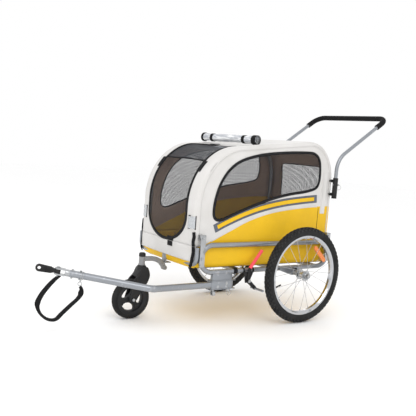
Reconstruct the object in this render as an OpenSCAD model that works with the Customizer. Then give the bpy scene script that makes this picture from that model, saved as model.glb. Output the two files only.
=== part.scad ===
// Bicycle trailer and stroller for a large dog: steel tube frame, folding fabric cabin,
// two 20 inch wheels, a swivelling caster, a swinging drawbar and a push handle.
// Millimetres. +Z is up, the trailer is towed towards -Y, and its left side is +X.
// Positions called "ahead" are measured forward from the wheel axle line.

/* [Wheels] */
// Outer diameter of a main tyre
wheel_d = 506; // [440:2:560]
// Width of a main tyre
tyre_w = 49; // [36:1:60]
// Diameter at the edge of the rim
rim_d = 418; // [360:2:460]
// Width of the rim
rim_w = 30; // [22:1:36]
// Distance between the two tyre centres
track_w = 724; // [700:2:800]
// Number of spokes in a wheel
spoke_count = 20; // [16:2:36]
// Diameter of the stub axles
axle_d = 12; // [10:0.5:15]
// Radial clearance of every turning fit
run_gap = 0.05; // [0.02:0.01:0.1]

/* [Frame] */
// Diameter of the frame tubes
rail_d = 25; // [20:1:30]
// Wall of the frame tubes
rail_wall = 2; // [1.5:0.5:3]
// Distance between the centre lines of the two side loops
loop_w = 544; // [500:2:600]
// Height of the lower rail of a loop
loop_low = 275; // [260:1:300]
// Distance between the lower and the upper rail
loop_h = 133; // [110:1:160]
// Reach of a loop ahead of the axle
loop_front = 593; // [520:1:660]
// Reach of a loop behind the axle
loop_rear = 250; // [200:1:300]

/* [Cabin] */
// Outside width of the cabin
cabin_w = 512; // [470:2:540]
// Reach of the cabin ahead of the axle
cabin_front = 638; // [560:1:700]
// Reach of the cabin behind the axle
cabin_rear = 264; // [220:1:320]
// Height of the floor's underside
floor_z = 290; // [285:1:310]
// Height where the fixed tub ends and the folding cover begins
sill_z = 400; // [395:1:402]
// Height of the roof at its front edge
roof_front_z = 894; // [800:1:980]
// Height of the roof at its rear edge
roof_rear_z = 945; // [850:1:1040]
// Thickness of the fabric panels
cover_t = 3; // [2:0.5:5]

/* [Hoops] */
// Diameter of the hoop tubes
hoop_d = 22; // [18:1:25]
// Height of the hinges that the hoops fold on
hinge_z = 448; // [446:1:470]
// Front hinge ahead of the axle
hinge_front = 596; // [590:1:600]
// Rear hinge behind the axle
hinge_rear = 238; // [225:1:245]

/* [Handle] */
// Diameter of the handle tube
handle_d = 20; // [18:1:25]
// Distance between the handle's two tubes
handle_w = 562; // [540:2:620]
// Diameter of the foam grip
grip_d = 30; // [26:1:36]
// Slope of the handle's rear part
handle_slope = 34; // [20:1:50]

/* [Caster] */
// Diameter of the caster wheel
caster_d = 200; // [160:2:220]
// Width of the caster wheel
caster_w = 38; // [30:1:50]
// Caster steering axis ahead of the axle
caster_ahead = 761; // [740:1:820]
// Distance from the steering axis to the caster wheel's axle
caster_trail = 51; // [30:1:70]

/* [Drawbar] */
// Diameter of the drawbar tube
bar_d = 32; // [28:1:36]
// Height of the drawbar's straight part
bar_z = 212; // [205:1:216]
// Drawbar pivot ahead of the axle
pivot_ahead = 410; // [390:1:430]
// Length from the pivot to the bend
bar_straight = 440; // [400:1:500]
// Length from the bend to the hitch pin
bar_reach = 436; // [380:1:520]
// Sideways angle of the bend
bar_turn = 20.8; // [10:0.2:30]
// Rise angle of the front part
bar_rise = 9.7; // [0:0.1:15]

/* [Hitch] */
// Diameter of the hole for the bicycle's rear axle
hitch_bore = 15; // [10:0.5:17]
// Length of the coupler from its pin to that hole
coupler_l = 82; // [60:1:110]
// Diameter of the hitch pin
pin_d = 8; // [6:0.5:10]

/* [Brake] */
// Brake pivot ahead of the axle
brake_ahead = 312; // [306:1:330]
// Diameter of the brake bar
brake_bar_d = 12; // [8:1:14]

/* [Hidden] */

$fn = 48;

wheel_r = wheel_d / 2;
wheel_x = track_w / 2;
axle_z = wheel_r;
loop_x = loop_w / 2;
loop_r = loop_h / 2;
side_x = cabin_w / 2;
hoop_x = side_x - cover_t - hoop_d / 2 - 2;
handle_x = handle_w / 2;
caster_r = caster_d / 2;

// The whole trailer is shifted so that it is centred on the origin, front to back.
handle_bend_r = 120;
handle_base_z = 655;
handle_bend_z = 800;
socket_y = 258;
handle_run = 386;
handle_lean = 90 - handle_slope;
handle_top_y = socket_y + handle_bend_r * (1 - cos(handle_lean)) + handle_run * cos(handle_slope);
handle_top_z = handle_bend_z + handle_bend_r * sin(handle_lean) + handle_run * sin(handle_slope);
rear_reach = handle_top_y + grip_d / 2;
bend_ahead = pivot_ahead + bar_straight;
coupler_r = 16.5;
hitch_ahead = bend_ahead + (bar_reach + coupler_l) * cos(bar_rise) * cos(bar_turn);
front_reach = hitch_ahead + coupler_r;
axle_y = (front_reach - rear_reach) / 2;

module at_axle() translate([0, axle_y, 0]) children();
module both_sides() {
    children();
    mirror([1, 0, 0]) children();
}

// A tube that starts at the origin along +Z. Each step is [length, bend radius, bend angle, roll]:
// the tube runs straight for the length, rolls about itself and bends towards +X.
// Every straight length laps a little into its bends, whose wall is a touch thicker.
lap = 0.5;
swell = 0.1;
module tube_run(d, wall, steps, i = 0) {
    if (i < len(steps)) {
        s = steps[i];
        if (s[0] > 0) translate([0, 0, -lap]) linear_extrude(s[0] + 2 * lap) tube_ring(d, wall);
        translate([0, 0, s[0]]) rotate([0, 0, s[3]]) {
            if (s[2] > 0) translate([s[1], 0, 0]) rotate([90, 0, 180])
                rotate_extrude(angle = s[2]) translate([s[1], 0]) tube_ring(d + 2 * swell, wall + 2 * swell);
            translate([s[1] * (1 - cos(s[2])), 0, s[1] * sin(s[2])]) rotate([0, s[2], 0])
                tube_run(d, wall, steps, i + 1);
        }
    }
}
module tube_ring(d, wall) difference() {
    circle(d = d);
    if (wall > 0) circle(d = d - 2 * wall);
}
module pipe(d, bore, h) difference() {
    cylinder(d = d, h = h);
    translate([0, 0, -1]) cylinder(d = bore, h = h + 2);
}
// A rod along +X, starting at x.
module rod_x(d, x, l, bore = 0) translate([x, 0, 0]) rotate([0, 90, 0]) difference() {
    cylinder(d = d, h = l);
    if (bore > 0) translate([0, 0, -1]) cylinder(d = bore, h = l + 2);
}
// A plate in the YZ plane from x to x + t, with its outline given as [y, z].
module plate_yz(x, t, outline) translate([x, 0, 0]) rotate([90, 0, 90]) linear_extrude(t) polygon(outline);

// ---- Side loops, crossbars and floor ----

module loop_tube(d, wall) {
    y0 = -loop_front + loop_r;
    y1 = loop_rear - loop_r;
    translate([loop_x, y0, loop_low]) rotate([-90, 0, 0]) rotate([0, 0, -90])
        tube_run(d, wall, [[y1 - y0, loop_r, 180, 0], [y1 - y0, loop_r, 180, 0]]);
}
module side_loop(side) color("silver") at_axle() mirror([side < 0 ? 1 : 0, 0, 0]) loop_tube(rail_d, rail_wall);

seat_gap = 0.05;
crossbar_z = 312;
bar_corner_r = 40;
hoop_wall = 2;
crossbar_ahead = loop_front + rail_d / 2 + hoop_d / 2 + 2 * swell + 3 * seat_gap;
rear_crossbar_y = loop_rear - loop_r - rail_d / 2 - 3;
front_bar_x = 232;
module rail_cut() translate([loop_x, 0, loop_low]) rotate([90, 0, 0])
    cylinder(d = rail_d + 2 * seat_gap, h = 2 * loop_front, center = true);
module crossbars() color("silver") at_axle() {
    for (y = [-352, -120, rear_crossbar_y]) difference() {
        translate([0, y, loop_low]) rod_x(rail_d, -loop_x, loop_w, rail_d - 2 * rail_wall);
        both_sides() rail_cut();
    }
    front_bar(hoop_d, hoop_wall);
}
// The front crossbar turns up at both ends, where it meets the loops.
module front_bar(d, wall) for (side = [0, 1]) mirror([side, 0, 0])
    translate([side == 0 ? -front_bar_x : front_bar_x, -crossbar_ahead, crossbar_z]) rotate([0, 90, 0])
        tube_run(d, wall, [[side == 0 ? 2 * front_bar_x : 0, bar_corner_r, 90, 180], [46, 1, 0, 0]]);

mat_t = 18;
board_t = 6;
floor_front = 606;
floor_rear = 246;
floor_half = side_x - cover_t - 4;
module floor_slab(z, t, inset) translate([-floor_half + inset, -floor_front + inset, z])
    cube([2 * (floor_half - inset), floor_front + floor_rear - 2 * inset, t]);
module floor_board() color("dimgray") at_axle() floor_slab(floor_z + cover_t, board_t, 0);
module floor_mat() color("rosybrown") at_axle() floor_slab(floor_z + cover_t + board_t, mat_t, 6);

// The tub is the fixed lower part of the cabin: a floor sheet and four low walls.
tub_back = 4;
bar_room = hoop_d + 4;
module tub() color("gold") at_axle() difference() {
    translate([-side_x, -cabin_front + tub_back, floor_z])
        cube([cabin_w, cabin_front - tub_back + cabin_rear - 2, sill_z - floor_z]);
    translate([-side_x + cover_t, -cabin_front + tub_back + cover_t, floor_z + cover_t])
        cube([cabin_w - 2 * cover_t, cabin_front - tub_back + cabin_rear - 2 - 2 * cover_t, sill_z]);
    both_sides() translate([side_x - cover_t - 1, -crossbar_ahead - bar_room / 2, crossbar_z - bar_room / 2])
        cube([cover_t + 2, bar_room, bar_room + 14]);
    translate([-arm_slot / 2, -cabin_front, 0]) cube([arm_slot, cabin_front - crossbar_ahead + 14,
        crossbar_z + 24]);
}
// The white strip that covers the front of the tub.
apron_low = 326;
module front_apron() color("whitesmoke") at_axle() translate([-sheet_half, -cabin_front, apron_low])
    difference() {
    cube([2 * sheet_half, cover_t, sill_z - apron_low]);
    translate([sheet_half - arm_slot / 2, -1, -1]) cube([arm_slot, 20, crossbar_z + 25 - apron_low]);
}

// ---- Hinges of the folding hoops ----

hinge_pin_d = 8;
bracket_t = 4;
bracket_x = loop_x + rail_d / 2 + 0.3;
cover_gap = 0.6;
bracket_half = 14;
module fold_bracket(y) difference() {
    union() {
        translate([side_x + cover_gap, y - bracket_half, hinge_z - 12])
            cube([bracket_x + bracket_t - side_x - cover_gap, 2 * bracket_half, 24]);
        translate([bracket_x, y - bracket_half, loop_low + 30]) cube([bracket_t, 2 * bracket_half,
            hinge_z - loop_low - 30]);
    }
    translate([0, y, hinge_z]) rod_x(hinge_pin_d, side_x - 20, 60);
}
module fold_brackets() color("gainsboro") at_axle() both_sides() {
    fold_bracket(-hinge_front);
    fold_bracket(hinge_rear);
}
module fold_pins() color("gainsboro") at_axle() both_sides()
    for (y = [-hinge_front, hinge_rear]) translate([0, y, hinge_z])
        rod_x(hinge_pin_d, hoop_x - hoop_d / 2, bracket_x + bracket_t + 3 - hoop_x + hoop_d / 2);

guard_low = 334;
guard_h = 134;
module corner_guards() color("black") at_axle() both_sides() difference() {
    translate([side_x + cover_gap, -cabin_front + 2, guard_low]) cube([2, 24, guard_h]);
    translate([side_x, -crossbar_ahead - bar_room / 2, guard_low - 1]) cube([10, bar_room, 16]);
}

// ---- Axles, wheels and the wheel release ----

carrier_x = loop_x + 15;
carrier_d = 26;
carrier_l = 36;
carrier_in = 10;
button_x = carrier_x + 18;
button_pin_d = 6;
groove_depth = 1.5;
axle_tip = wheel_x + 40;

module axle_carriers() color("silver") at_axle() both_sides() difference() {
    union() {
        translate([0, 0, axle_z]) rod_x(carrier_d, loop_x - carrier_in,
            carrier_x - loop_x + carrier_in + carrier_l);
        plate_yz(carrier_x, 6, [[-100, loop_low + 6], [50, loop_low + 6], [50, loop_low - 8],
            [16, axle_z - 14], [-16, axle_z - 14], [-100, loop_low - 8]]);
    }
    translate([0, 0, axle_z]) rod_x(axle_d, 0, 500);
    loop_tube(rail_d, 0);
    translate([button_x, 0, axle_z]) cylinder(d = button_pin_d + 2 * run_gap, h = 40);
}
module axles() color("gainsboro") at_axle() both_sides() translate([0, 0, axle_z]) difference() {
    union() {
        rod_x(axle_d, loop_x - carrier_in, axle_tip - loop_x + carrier_in);
        rod_x(20, axle_tip, 6);
    }
    translate([button_x, 0, axle_d / 2 - groove_depth]) cylinder(d = button_pin_d + 2, h = 10);
}
module release_button(side) color("black") at_axle() mirror([side < 0 ? 1 : 0, 0, 0])
    translate([button_x, 0, axle_z]) {
        translate([0, 0, axle_d / 2 - groove_depth + 0.3]) cylinder(d = button_pin_d, h = 14);
        translate([0, 0, carrier_d / 2 + 0.4]) cylinder(d = 15, h = 12);
    }

rim_in = 17;
hub_half = 31;
hub_d = 32;
flange_d = 54;
flange_t = 3;
flange_at = 22;
bearing_w = 8;
bearing_d = 26;
module wheel_rim(side) color("gainsboro") at_axle() translate([side * wheel_x, 0, axle_z]) rotate([0, 90, 0])
    rotate_extrude() translate([rim_d / 2 - rim_in, 0]) difference() {
        polygon([[0, -7], [0, 7], [7, rim_w / 2], [rim_in, rim_w / 2], [rim_in, -rim_w / 2], [7, -rim_w / 2]]);
        polygon([[3, -5], [3, 5], [8, rim_w / 2 - 3], [rim_in + 1, rim_w / 2 - 3], [rim_in + 1, -rim_w / 2 + 3],
            [8, -rim_w / 2 + 3]]);
    }
module tyre(side) color([0.12, 0.12, 0.13]) at_axle() translate([side * wheel_x, 0, axle_z]) rotate([0, 90, 0])
    rotate_extrude($fn = 96) intersection() {
        translate([wheel_r - tyre_w / 2, 0]) circle(d = tyre_w, $fn = 48);
        translate([rim_d / 2, -tyre_w]) square([tyre_w, 2 * tyre_w]);
    }
// The hub shell turns on two sealed bearings, which are part of it here.
module hub(side) color("silver") at_axle() translate([side * wheel_x, 0, axle_z]) rotate([0, 90, 0])
    difference() {
    union() {
        translate([0, 0, -hub_half]) cylinder(d = hub_d, h = 2 * hub_half);
        for (s = [-1, 1]) translate([0, 0, s * flange_at - flange_t / 2]) cylinder(d = flange_d, h = flange_t);
    }
    translate([0, 0, -hub_half + bearing_w]) cylinder(d = bearing_d - 4, h = 2 * (hub_half - bearing_w));
    translate([0, 0, -hub_half - 1]) cylinder(d = axle_d + 2 * run_gap, h = 2 * hub_half + 2);
}
spoke_d = 2.2;
spoke_lean = 38;
spoke_root = flange_d / 2 - 3;
spoke_end = rim_d / 2 - rim_in;
// Spokes leave the flange at a slant, alternately forwards and backwards, and reach the rim.
module spoke_set() for (i = [0 : spoke_count - 1]) {
    flange = i % 2 == 0 ? 1 : -1;
    lean = (i % 4 < 2 ? 1 : -1) * spoke_lean;
    off = (i % 4 < 2 ? 1 : -1) * 2;
    a = i * 360 / spoke_count;
    x0 = spoke_root * cos(a + lean);
    y0 = spoke_root * sin(a + lean);
    x1 = spoke_end * cos(a);
    y1 = spoke_end * sin(a);
    z0 = flange * (flange_at + off);
    z1 = flange * 2;
    span = sqrt((x1 - x0) * (x1 - x0) + (y1 - y0) * (y1 - y0));
    tilt = atan2(z1 - z0, span);
    translate([x0, y0, z0]) rotate([0, 0, atan2(y1 - y0, x1 - x0)]) rotate([0, 90 - tilt, 0])
        cylinder(d = spoke_d, h = sqrt(span * span + (z1 - z0) * (z1 - z0)), $fn = 16);
}
module wheel_spokes(side) color("silver") at_axle() translate([side * wheel_x, 0, axle_z]) rotate([0, 90, 0])
    difference() {
        spoke_set();
        difference() {
            cylinder(r = rim_d, h = 2 * rim_d, center = true);
            cylinder(r = spoke_end, h = 4 * rim_d, center = true);
        }
        cylinder(d = flange_d - 8, h = 100, center = true);
        for (s = [-1, 1]) translate([0, 0, s * flange_at - flange_t / 2]) cylinder(d = flange_d, h = flange_t);
    }

// ---- Caster ----

steer_bore = 12;
steer_d = 31;
steer_low = 268;
steer_high = 312;
arm_w = 26;
arm_t = 24;
arm_r = 86;
bush_d = 18;

// The arched arm leaves the steering tube level and turns down in front of the crossbar.
module caster_arm() color("darkgray") at_axle() difference() {
    union() {
        translate([0, -caster_ahead, steer_low]) cylinder(d = steer_d, h = steer_high - steer_low);
        translate([-arm_w / 2, -caster_ahead, steer_high - arm_t])
            cube([arm_w, caster_ahead - arm_pivot, arm_t]);
        translate([-arm_w / 2, -arm_pivot, steer_high - arm_r]) rotate([90, 0, 90])
            rotate_extrude_sector(arm_r, arm_t, arm_w, 62);
        translate([-arm_w / 2 - 5, -crossbar_ahead - hoop_d / 2 - 6, crossbar_z - 34]) cube([arm_w + 10, 6,
            50]);
        translate([-arm_w / 2 - 5, -crossbar_ahead - hoop_d / 2 - 6, crossbar_z - 34]) cube([arm_w + 10,
            30, 6]);
    }
    translate([0, -caster_ahead, steer_low - 1]) cylinder(d = bush_d, h = steer_high - steer_low + 2);
    translate([0, -crossbar_ahead, crossbar_z]) rod_x(hoop_d, -60, 120);
    translate([-100, -crossbar_ahead - hoop_d / 2, crossbar_z - 8]) cube([200, 60, 40]);
}
arm_pivot = crossbar_ahead + 60;
arm_slot = 44;
module rotate_extrude_sector(r, t, w, a) intersection() {
    difference() {
        cylinder(r = r, h = w);
        translate([0, 0, -1]) cylinder(r = r - t, h = w + 2);
    }
    linear_extrude(w) polygon([[0, 0], [0, 2 * r], [2 * r, 2 * r], [2 * r * sin(a), 2 * r * cos(a)]]);
}
module caster_cap() color("black") at_axle() translate([0, -caster_ahead, steer_high])
    cylinder(d = steer_d + 1, h = 20);
module caster_bushes() color("ivory") at_axle() translate([0, -caster_ahead, steer_low])
    pipe(bush_d, steer_bore + 2 * run_gap, steer_high - steer_low);

fork_half = caster_w / 2 + 4;
fork_t = 8;
crown_z = steer_low - 1;
crown_h = 20;
fork_y = -caster_ahead - caster_trail;
module caster_fork() color([0.13, 0.13, 0.14]) at_axle() {
    translate([0, -caster_ahead, crown_z - crown_h]) cylinder(d = 46, h = crown_h);
    translate([0, -caster_ahead, crown_z]) cylinder(d = steer_bore, h = steer_high - crown_z - 1);
    translate([-fork_half - fork_t, -caster_ahead - 34, crown_z - crown_h - 18])
        cube([2 * (fork_half + fork_t), 58, 20]);
    both_sides() difference() {
        plate_yz(fork_half, fork_t, [[fork_y - 16, caster_r - 4], [fork_y - 8, caster_r - 14], [fork_y + 8,
            caster_r - 14],
            [fork_y + 20, caster_r], [-caster_ahead + 24, crown_z - crown_h - 40],
            [-caster_ahead + 24, crown_z - crown_h - 17], [-caster_ahead - 34, crown_z - crown_h - 17],
            [-caster_ahead - 62, crown_z - crown_h - 44], [fork_y - 16, caster_r + 30]]);
        translate([0, fork_y, caster_r]) rod_x(8, 0, 80);
    }
}
caster_rim_r = caster_r - 20;
module caster_wheel() color([0.15, 0.15, 0.16]) at_axle() translate([-caster_w / 2, fork_y, caster_r])
    rotate([0, 90, 0])
    difference() {
        union() {
            pipe(2 * caster_rim_r, 2 * caster_rim_r - 16, caster_w);
            translate([0, 0, -3]) cylinder(d = 36, h = caster_w + 6);
            for (a = [0, 120, 240]) rotate([0, 0, a + 40]) translate([0, -11, 8]) cube([caster_rim_r - 6,
                22, caster_w - 16]);
        }
        translate([0, 0, -4]) cylinder(d = 8 + 2 * run_gap, h = caster_w + 8);
    }
module caster_tyre() color([0.1, 0.1, 0.11]) at_axle() translate([0, fork_y, caster_r]) rotate([0, 90, 0])
    rotate_extrude($fn = 96) translate([caster_rim_r, 0])
        polygon([[0, -caster_w / 2], [12, -caster_w / 2], [17, -caster_w / 2 + 4], [20, -6], [20, 6],
            [17, caster_w / 2 - 4], [12, caster_w / 2], [0, caster_w / 2]]);
module caster_axle() color("silver") at_axle() translate([0, fork_y, caster_r]) {
    rod_x(8, -fork_half - fork_t - 6, 2 * (fork_half + fork_t + 6));
    both_sides() rod_x(15, fork_half + fork_t, 6);
}

// ---- Drawbar receiver ----

recv_in = 20;
recv_front = 118;
recv_back = 24;
latch_arm = recv_front - 22;
plate_t = 4;
block_w = 34;
recv_gap = 1;
block_h = 36;
recv_top = bar_z + block_h / 2 + recv_gap;
recv_low = bar_z - block_h / 2 - recv_gap;
pivot_d = 10;

module receiver() color("silver") at_axle() translate([loop_x, -pivot_ahead, 0]) difference() {
    union() {
        translate([-recv_in - plate_t, -recv_front, recv_low - plate_t])
            cube([plate_t, recv_front + recv_back, recv_top - recv_low + 2 * plate_t]);
        for (z = [recv_low - plate_t, recv_top]) translate([-recv_in, -recv_front, z])
            cube([recv_in + 18, recv_front + recv_back, plate_t]);
        translate([-10, -recv_front + 8, recv_top + plate_t]) cube([20, recv_front, loop_low - recv_top]);
    }
    translate([0, 0, recv_low - 10]) cylinder(d = pivot_d + 2 * run_gap, h = 80);
    translate([0, -latch_arm, recv_low - 10]) cylinder(d = pin_d + 2 * run_gap, h = 12);
    translate([-loop_x, pivot_ahead, 0]) loop_tube(rail_d, 0);
    translate([-30, -recv_front, loop_low]) cube([60, 200, 60]);
}
module pivot_pin() color("gainsboro") at_axle() {
    pin_body();
    pin_ring();
}
module pin_body() translate([loop_x, -pivot_ahead, 0]) difference() {
    union() {
        translate([0, 0, recv_low - plate_t - 14]) cylinder(d = pivot_d,
            h = recv_top - recv_low + 2 * plate_t + 14);
        translate([0, 0, recv_low - plate_t - 4]) cylinder(d = 16, h = 4);
    }
    translate([0, 0, recv_low - plate_t - 8]) rod_x(4, -10, 20);
}
ring_r = 14;
module pin_ring() translate([loop_x, -pivot_ahead, recv_low - plate_t - 8 - ring_r])
    rotate([90, 0, 0]) rotate_extrude() translate([ring_r, 0]) circle(d = 2.4, $fn = 16);
// A spring latch under the receiver: its pin holds the drawbar straight ahead.
module drawbar_latch() color("gray") at_axle() translate([loop_x, -pivot_ahead - latch_arm, 0]) {
    translate([0, 0, recv_low - plate_t - 24]) cylinder(d = pin_d, h = 24 + plate_t + 8);
    translate([-10, -8, recv_low - plate_t - 30]) cube([20, 16, 6]);
    for (x = [-10, 7]) translate([x, -8, recv_low - plate_t - 24]) cube([3, 16, 14]);
}
module rail_strap() color("black") at_axle() translate([loop_x, -372, loop_low]) rotate([90, 0, 0])
    pipe(rail_d + 5, rail_d, 22);

// ---- Drawbar and hitch ----

module bar_front() translate([loop_x, -bend_ahead, bar_z]) rotate([0, 0, -bar_turn]) rotate([-bar_rise, 0,
    0]) children();
bar_bend = acos(cos(bar_turn) * cos(bar_rise));
bar_bend_r = 90;
bar_cut = bar_bend_r * tan(bar_bend / 2);
bar_roll = -atan2(sin(bar_rise), sin(bar_turn) * cos(bar_rise));
clevis_at = bar_reach;
bar_tip = bar_reach - 52;
bar_wall = 2;
// The drawbar's rear end is a block that pivots on the receiver's pin. A groove under it
// lets the latch's pin in from the inner side as the bar swings straight.
module drawbar() color("silver") at_axle() difference() {
    union() {
        translate([loop_x, -pivot_ahead, bar_z - block_h / 2]) {
            cylinder(d = block_w, h = block_h);
            translate([-block_w / 2, -recv_front, 0]) cube([block_w, recv_front, block_h]);
        }
        translate([loop_x, -pivot_ahead - recv_front + 1, bar_z]) rotate([90, 0, 0]) rotate([0, 0, 180])
            tube_run(bar_d, bar_wall, [[bar_straight - recv_front - bar_cut + 1, bar_bend_r, bar_bend,
                bar_roll],
                [bar_tip - bar_cut - lap, 1, 0, 0]]);
    }
    translate([loop_x, -pivot_ahead, 0]) cylinder(d = pivot_d + 2 * run_gap, h = 400);
    translate([loop_x, -pivot_ahead, bar_z - block_h / 2 - 1]) {
        translate([0, -latch_arm, 0]) cylinder(d = pin_d + 2, h = 12);
        intersection() {
            pipe(2 * latch_arm + pin_d + 2, 2 * latch_arm - pin_d - 2, 12);
            translate([-block_w, -recv_front, 0]) cube([block_w, recv_front, 12]);
        }
    }
}
shank_d = bar_d - 2 * bar_wall;
tongue_h = 19;
prong_t = 6;
module hitch_clevis() color("silver") at_axle() bar_front() difference() {
    union() {
        translate([0, -bar_tip + 60, 0]) rotate([90, 0, 0]) cylinder(d = shank_d, h = 60);
        translate([0, -bar_tip, 0]) rotate([90, 0, 0]) cylinder(d = bar_d, h = 20);
        for (s = [-1, 1]) translate([-14, -clevis_at, s * (tongue_h / 2 + 0.4 + prong_t / 2) - prong_t / 2])
            cube([28, clevis_at - bar_tip - 20, prong_t]);
        for (s = [-1, 1]) translate([0, -clevis_at, s * (tongue_h / 2 + 0.4 + prong_t / 2) - prong_t / 2])
            cylinder(d = 28, h = prong_t);
    }
    translate([0, -clevis_at, -40]) cylinder(d = pin_d, h = 80);
}
module hitch_pin() color("gainsboro") at_axle() bar_front() translate([0, -clevis_at, 0]) {
    translate([0, 0, -24]) cylinder(d = pin_d, h = 46);
    translate([0, 0, tongue_h / 2 + 0.4 + prong_t]) cylinder(d = 15, h = 5);
}
hook_at = 322;
module snap_hook() color("gainsboro") at_axle() bar_front() translate([0, -hook_at, 0]) {
    for (y = [0, 9]) translate([0, -y, 0]) rotate([90, 0, 0]) pipe(bar_d + 6, bar_d, 4);
    translate([-3, -11, -bar_d / 2 - 15]) cube([6, 7, 12.5]);
    translate([0, -7.5, -bar_d / 2 - 22]) rotate([0, 90, 0]) translate([0, 0, -2]) pipe(20, 13, 4);
}
coupler_t = 14;
module coupler() color([0.14, 0.14, 0.15]) at_axle() bar_front() translate([0, -clevis_at, 0]) difference() {
    union() {
        translate([0, 0, -tongue_h / 2]) cylinder(d = 24, h = tongue_h);
        translate([-coupler_t / 2, -26, -tongue_h / 2]) cube([coupler_t, 22, tongue_h]);
        translate([-coupler_t / 2, 0, 0]) rotate([90, 0, 90]) linear_extrude(coupler_t)
            polygon([[-18, -9.5], [-30, -14], [-coupler_l, -coupler_r], [-coupler_l, coupler_r], [-30, 14],
                [-18, 9.5]]);
        translate([0, -coupler_l, 0]) rod_x(2 * coupler_r, -coupler_t / 2, coupler_t);
    }
    translate([0, 0, -30]) cylinder(d = pin_d + 2 * run_gap, h = 60);
    translate([0, -coupler_l, 0]) rod_x(hitch_bore, -30, 60);
}

// The safety strap hangs from the clevis and comes back to the hook on the drawbar.
strap_w = 25;
strap_t = 3;
strap_route = [[103, -1236, 252], [104, -1262, 240], [105, -1290, 213], [107, -1318, 178], [109, -1334, 140],
    [112, -1322, 100], [117, -1290, 71], [124, -1254, 67], [131, -1226, 95], [140, -1190, 132], [149,
        -1166, 158],
    [155, -1154, 180], [158, -1149, 202]];
function route_dir(p, i) = let (a = p[max(i - 1, 0)], b = p[min(i + 1, len(p) - 1)]) (b - a) / norm(b - a);
function strap_ring(p, i, n) = let (t = route_dir(p, i), w = cross(t, [0.4, 0, 1]), u = w / norm(w),
    v = cross(u, t))
    [for (k = [0 : n - 1]) p[i] + [0, axle_y, 0] + u * strap_w / 2 * cos(k * 360 / n)
        + v * strap_t / 2 * sin(k * 360 / n)];
module safety_strap() color("black") {
    n = 8;
    m = len(strap_route);
    rings = [for (i = [0 : m - 1]) each strap_ring(strap_route, i, n)];
    walls = [for (i = [0 : m - 2], k = [0 : n - 1]) let (j = (k + 1) % n) [i * n + k, i * n + j, (i + 1)
        * n + j, (i + 1) * n + k]];
    polyhedron(rings, concat([[for (k = [n - 1 : -1 : 0]) k]], walls, [[for (k = [0 : n - 1]) (m - 1)
        * n + k]]));
}

// ---- Parking brakes ----

brake_z = 226;
brake_plate_x = loop_x + 13;
brake_bar_ahead = 261;
brake_bar_z = 183;
brake_bar_in = 264;
brake_bar_out = 360;
brake_pin_d = 8;
lever_x = brake_plate_x + 8;
module brake_brackets() color([0.16, 0.16, 0.17]) at_axle() both_sides() {
    for (y = [-326, -268]) translate([loop_x, y, loop_low]) rotate([90, 0, 0]) pipe(rail_d + 6, rail_d, 9);
    difference() {
        plate_yz(brake_plate_x + 3, 4, [[-336, loop_low - 6], [-276, loop_low - 6], [-300, brake_z - 12],
            [-324, brake_z - 12]]);
        translate([0, -brake_ahead, brake_z]) rod_x(brake_pin_d, 200, 200);
    }
    translate([0, -brake_ahead, brake_z]) rod_x(brake_pin_d, brake_plate_x, 26);
    translate([0, -brake_ahead, brake_z]) rod_x(14, brake_plate_x - 5, 5);
}
grip_low = [-304, 290];
grip_high = [-234, 380];
module brake_lever(side) color([0.1, 0.1, 0.1]) at_axle() mirror([side < 0 ? 1 : 0, 0, 0]) {
    difference() {
        union() {
            translate([0, -brake_ahead, brake_z]) rod_x(22, lever_x, 6);
            plate_yz(lever_x, 6, [[-brake_ahead - 9, brake_z], [-brake_ahead + 9, brake_z - 4],
                [grip_low[0] + 7, grip_low[1]], [grip_low[0] - 7, grip_low[1]]]);
            plate_yz(lever_x, 6, [[-brake_ahead - 4, brake_z - 10], [-brake_ahead + 4, brake_z + 10],
                [-brake_bar_ahead + 7, brake_bar_z + 6], [-brake_bar_ahead - 5, brake_bar_z - 7]]);
        }
        translate([0, -brake_ahead, brake_z]) rod_x(brake_pin_d + 2 * run_gap, 200, 200);
        grip_shape();
    }
    translate([0, -brake_bar_ahead, brake_bar_z]) rod_x(brake_bar_d, brake_bar_in,
        brake_bar_out - brake_bar_in);
}
grip_l = norm(grip_high - grip_low);
module brake_grip(side) color([0.95, 0.2, 0.28]) at_axle() mirror([side < 0 ? 1 : 0, 0, 0]) grip_shape();
module grip_shape() translate([lever_x + 3, grip_low[0], grip_low[1]])
        rotate([-atan2(grip_high[0] - grip_low[0], grip_high[1] - grip_low[1]), 0, 0]) cylinder(d = 15,
            h = grip_l);

// ---- Folding hoops ----

knuckle_d = 28;
knuckle_h = 16;
hoop_corner_r = 35;
module hoop(top_z, bend_r) difference() {
    for (side = [0, 1]) mirror([side, 0, 0]) {
        translate([hoop_x, 0, hinge_z + knuckle_h]) rotate([0, 0, 90]) tube_run(hoop_d, hoop_wall,
            concat([[top_z - bend_r - hinge_z - knuckle_h, bend_r, 90, 0],
            [2, hoop_corner_r, 90, 90]], side == 0 ? [[2 * (hoop_x - hoop_corner_r), 1, 0, 0]] : []));
        translate([hoop_x, 0, hinge_z]) cylinder(d = hoop_d, h = knuckle_h);
        translate([0, 0, hinge_z]) rod_x(knuckle_d, hoop_x - hoop_d / 2, hoop_d);
    }
    both_sides() translate([0, 0, hinge_z]) rod_x(hinge_pin_d + 2 * run_gap, hoop_x - 40, 80);
}
hoop_inset = 18;
module front_hoop() color("silver") at_axle() translate([0, -hinge_front, 0])
    hoop(roof_front_z - hoop_inset, 235);
module rear_hoop() color("silver") at_axle() translate([0, hinge_rear, 0]) mirror([0, 1, 0])
    hoop(roof_rear_z - hoop_inset - 6, 170);

// ---- Push handle ----

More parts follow.
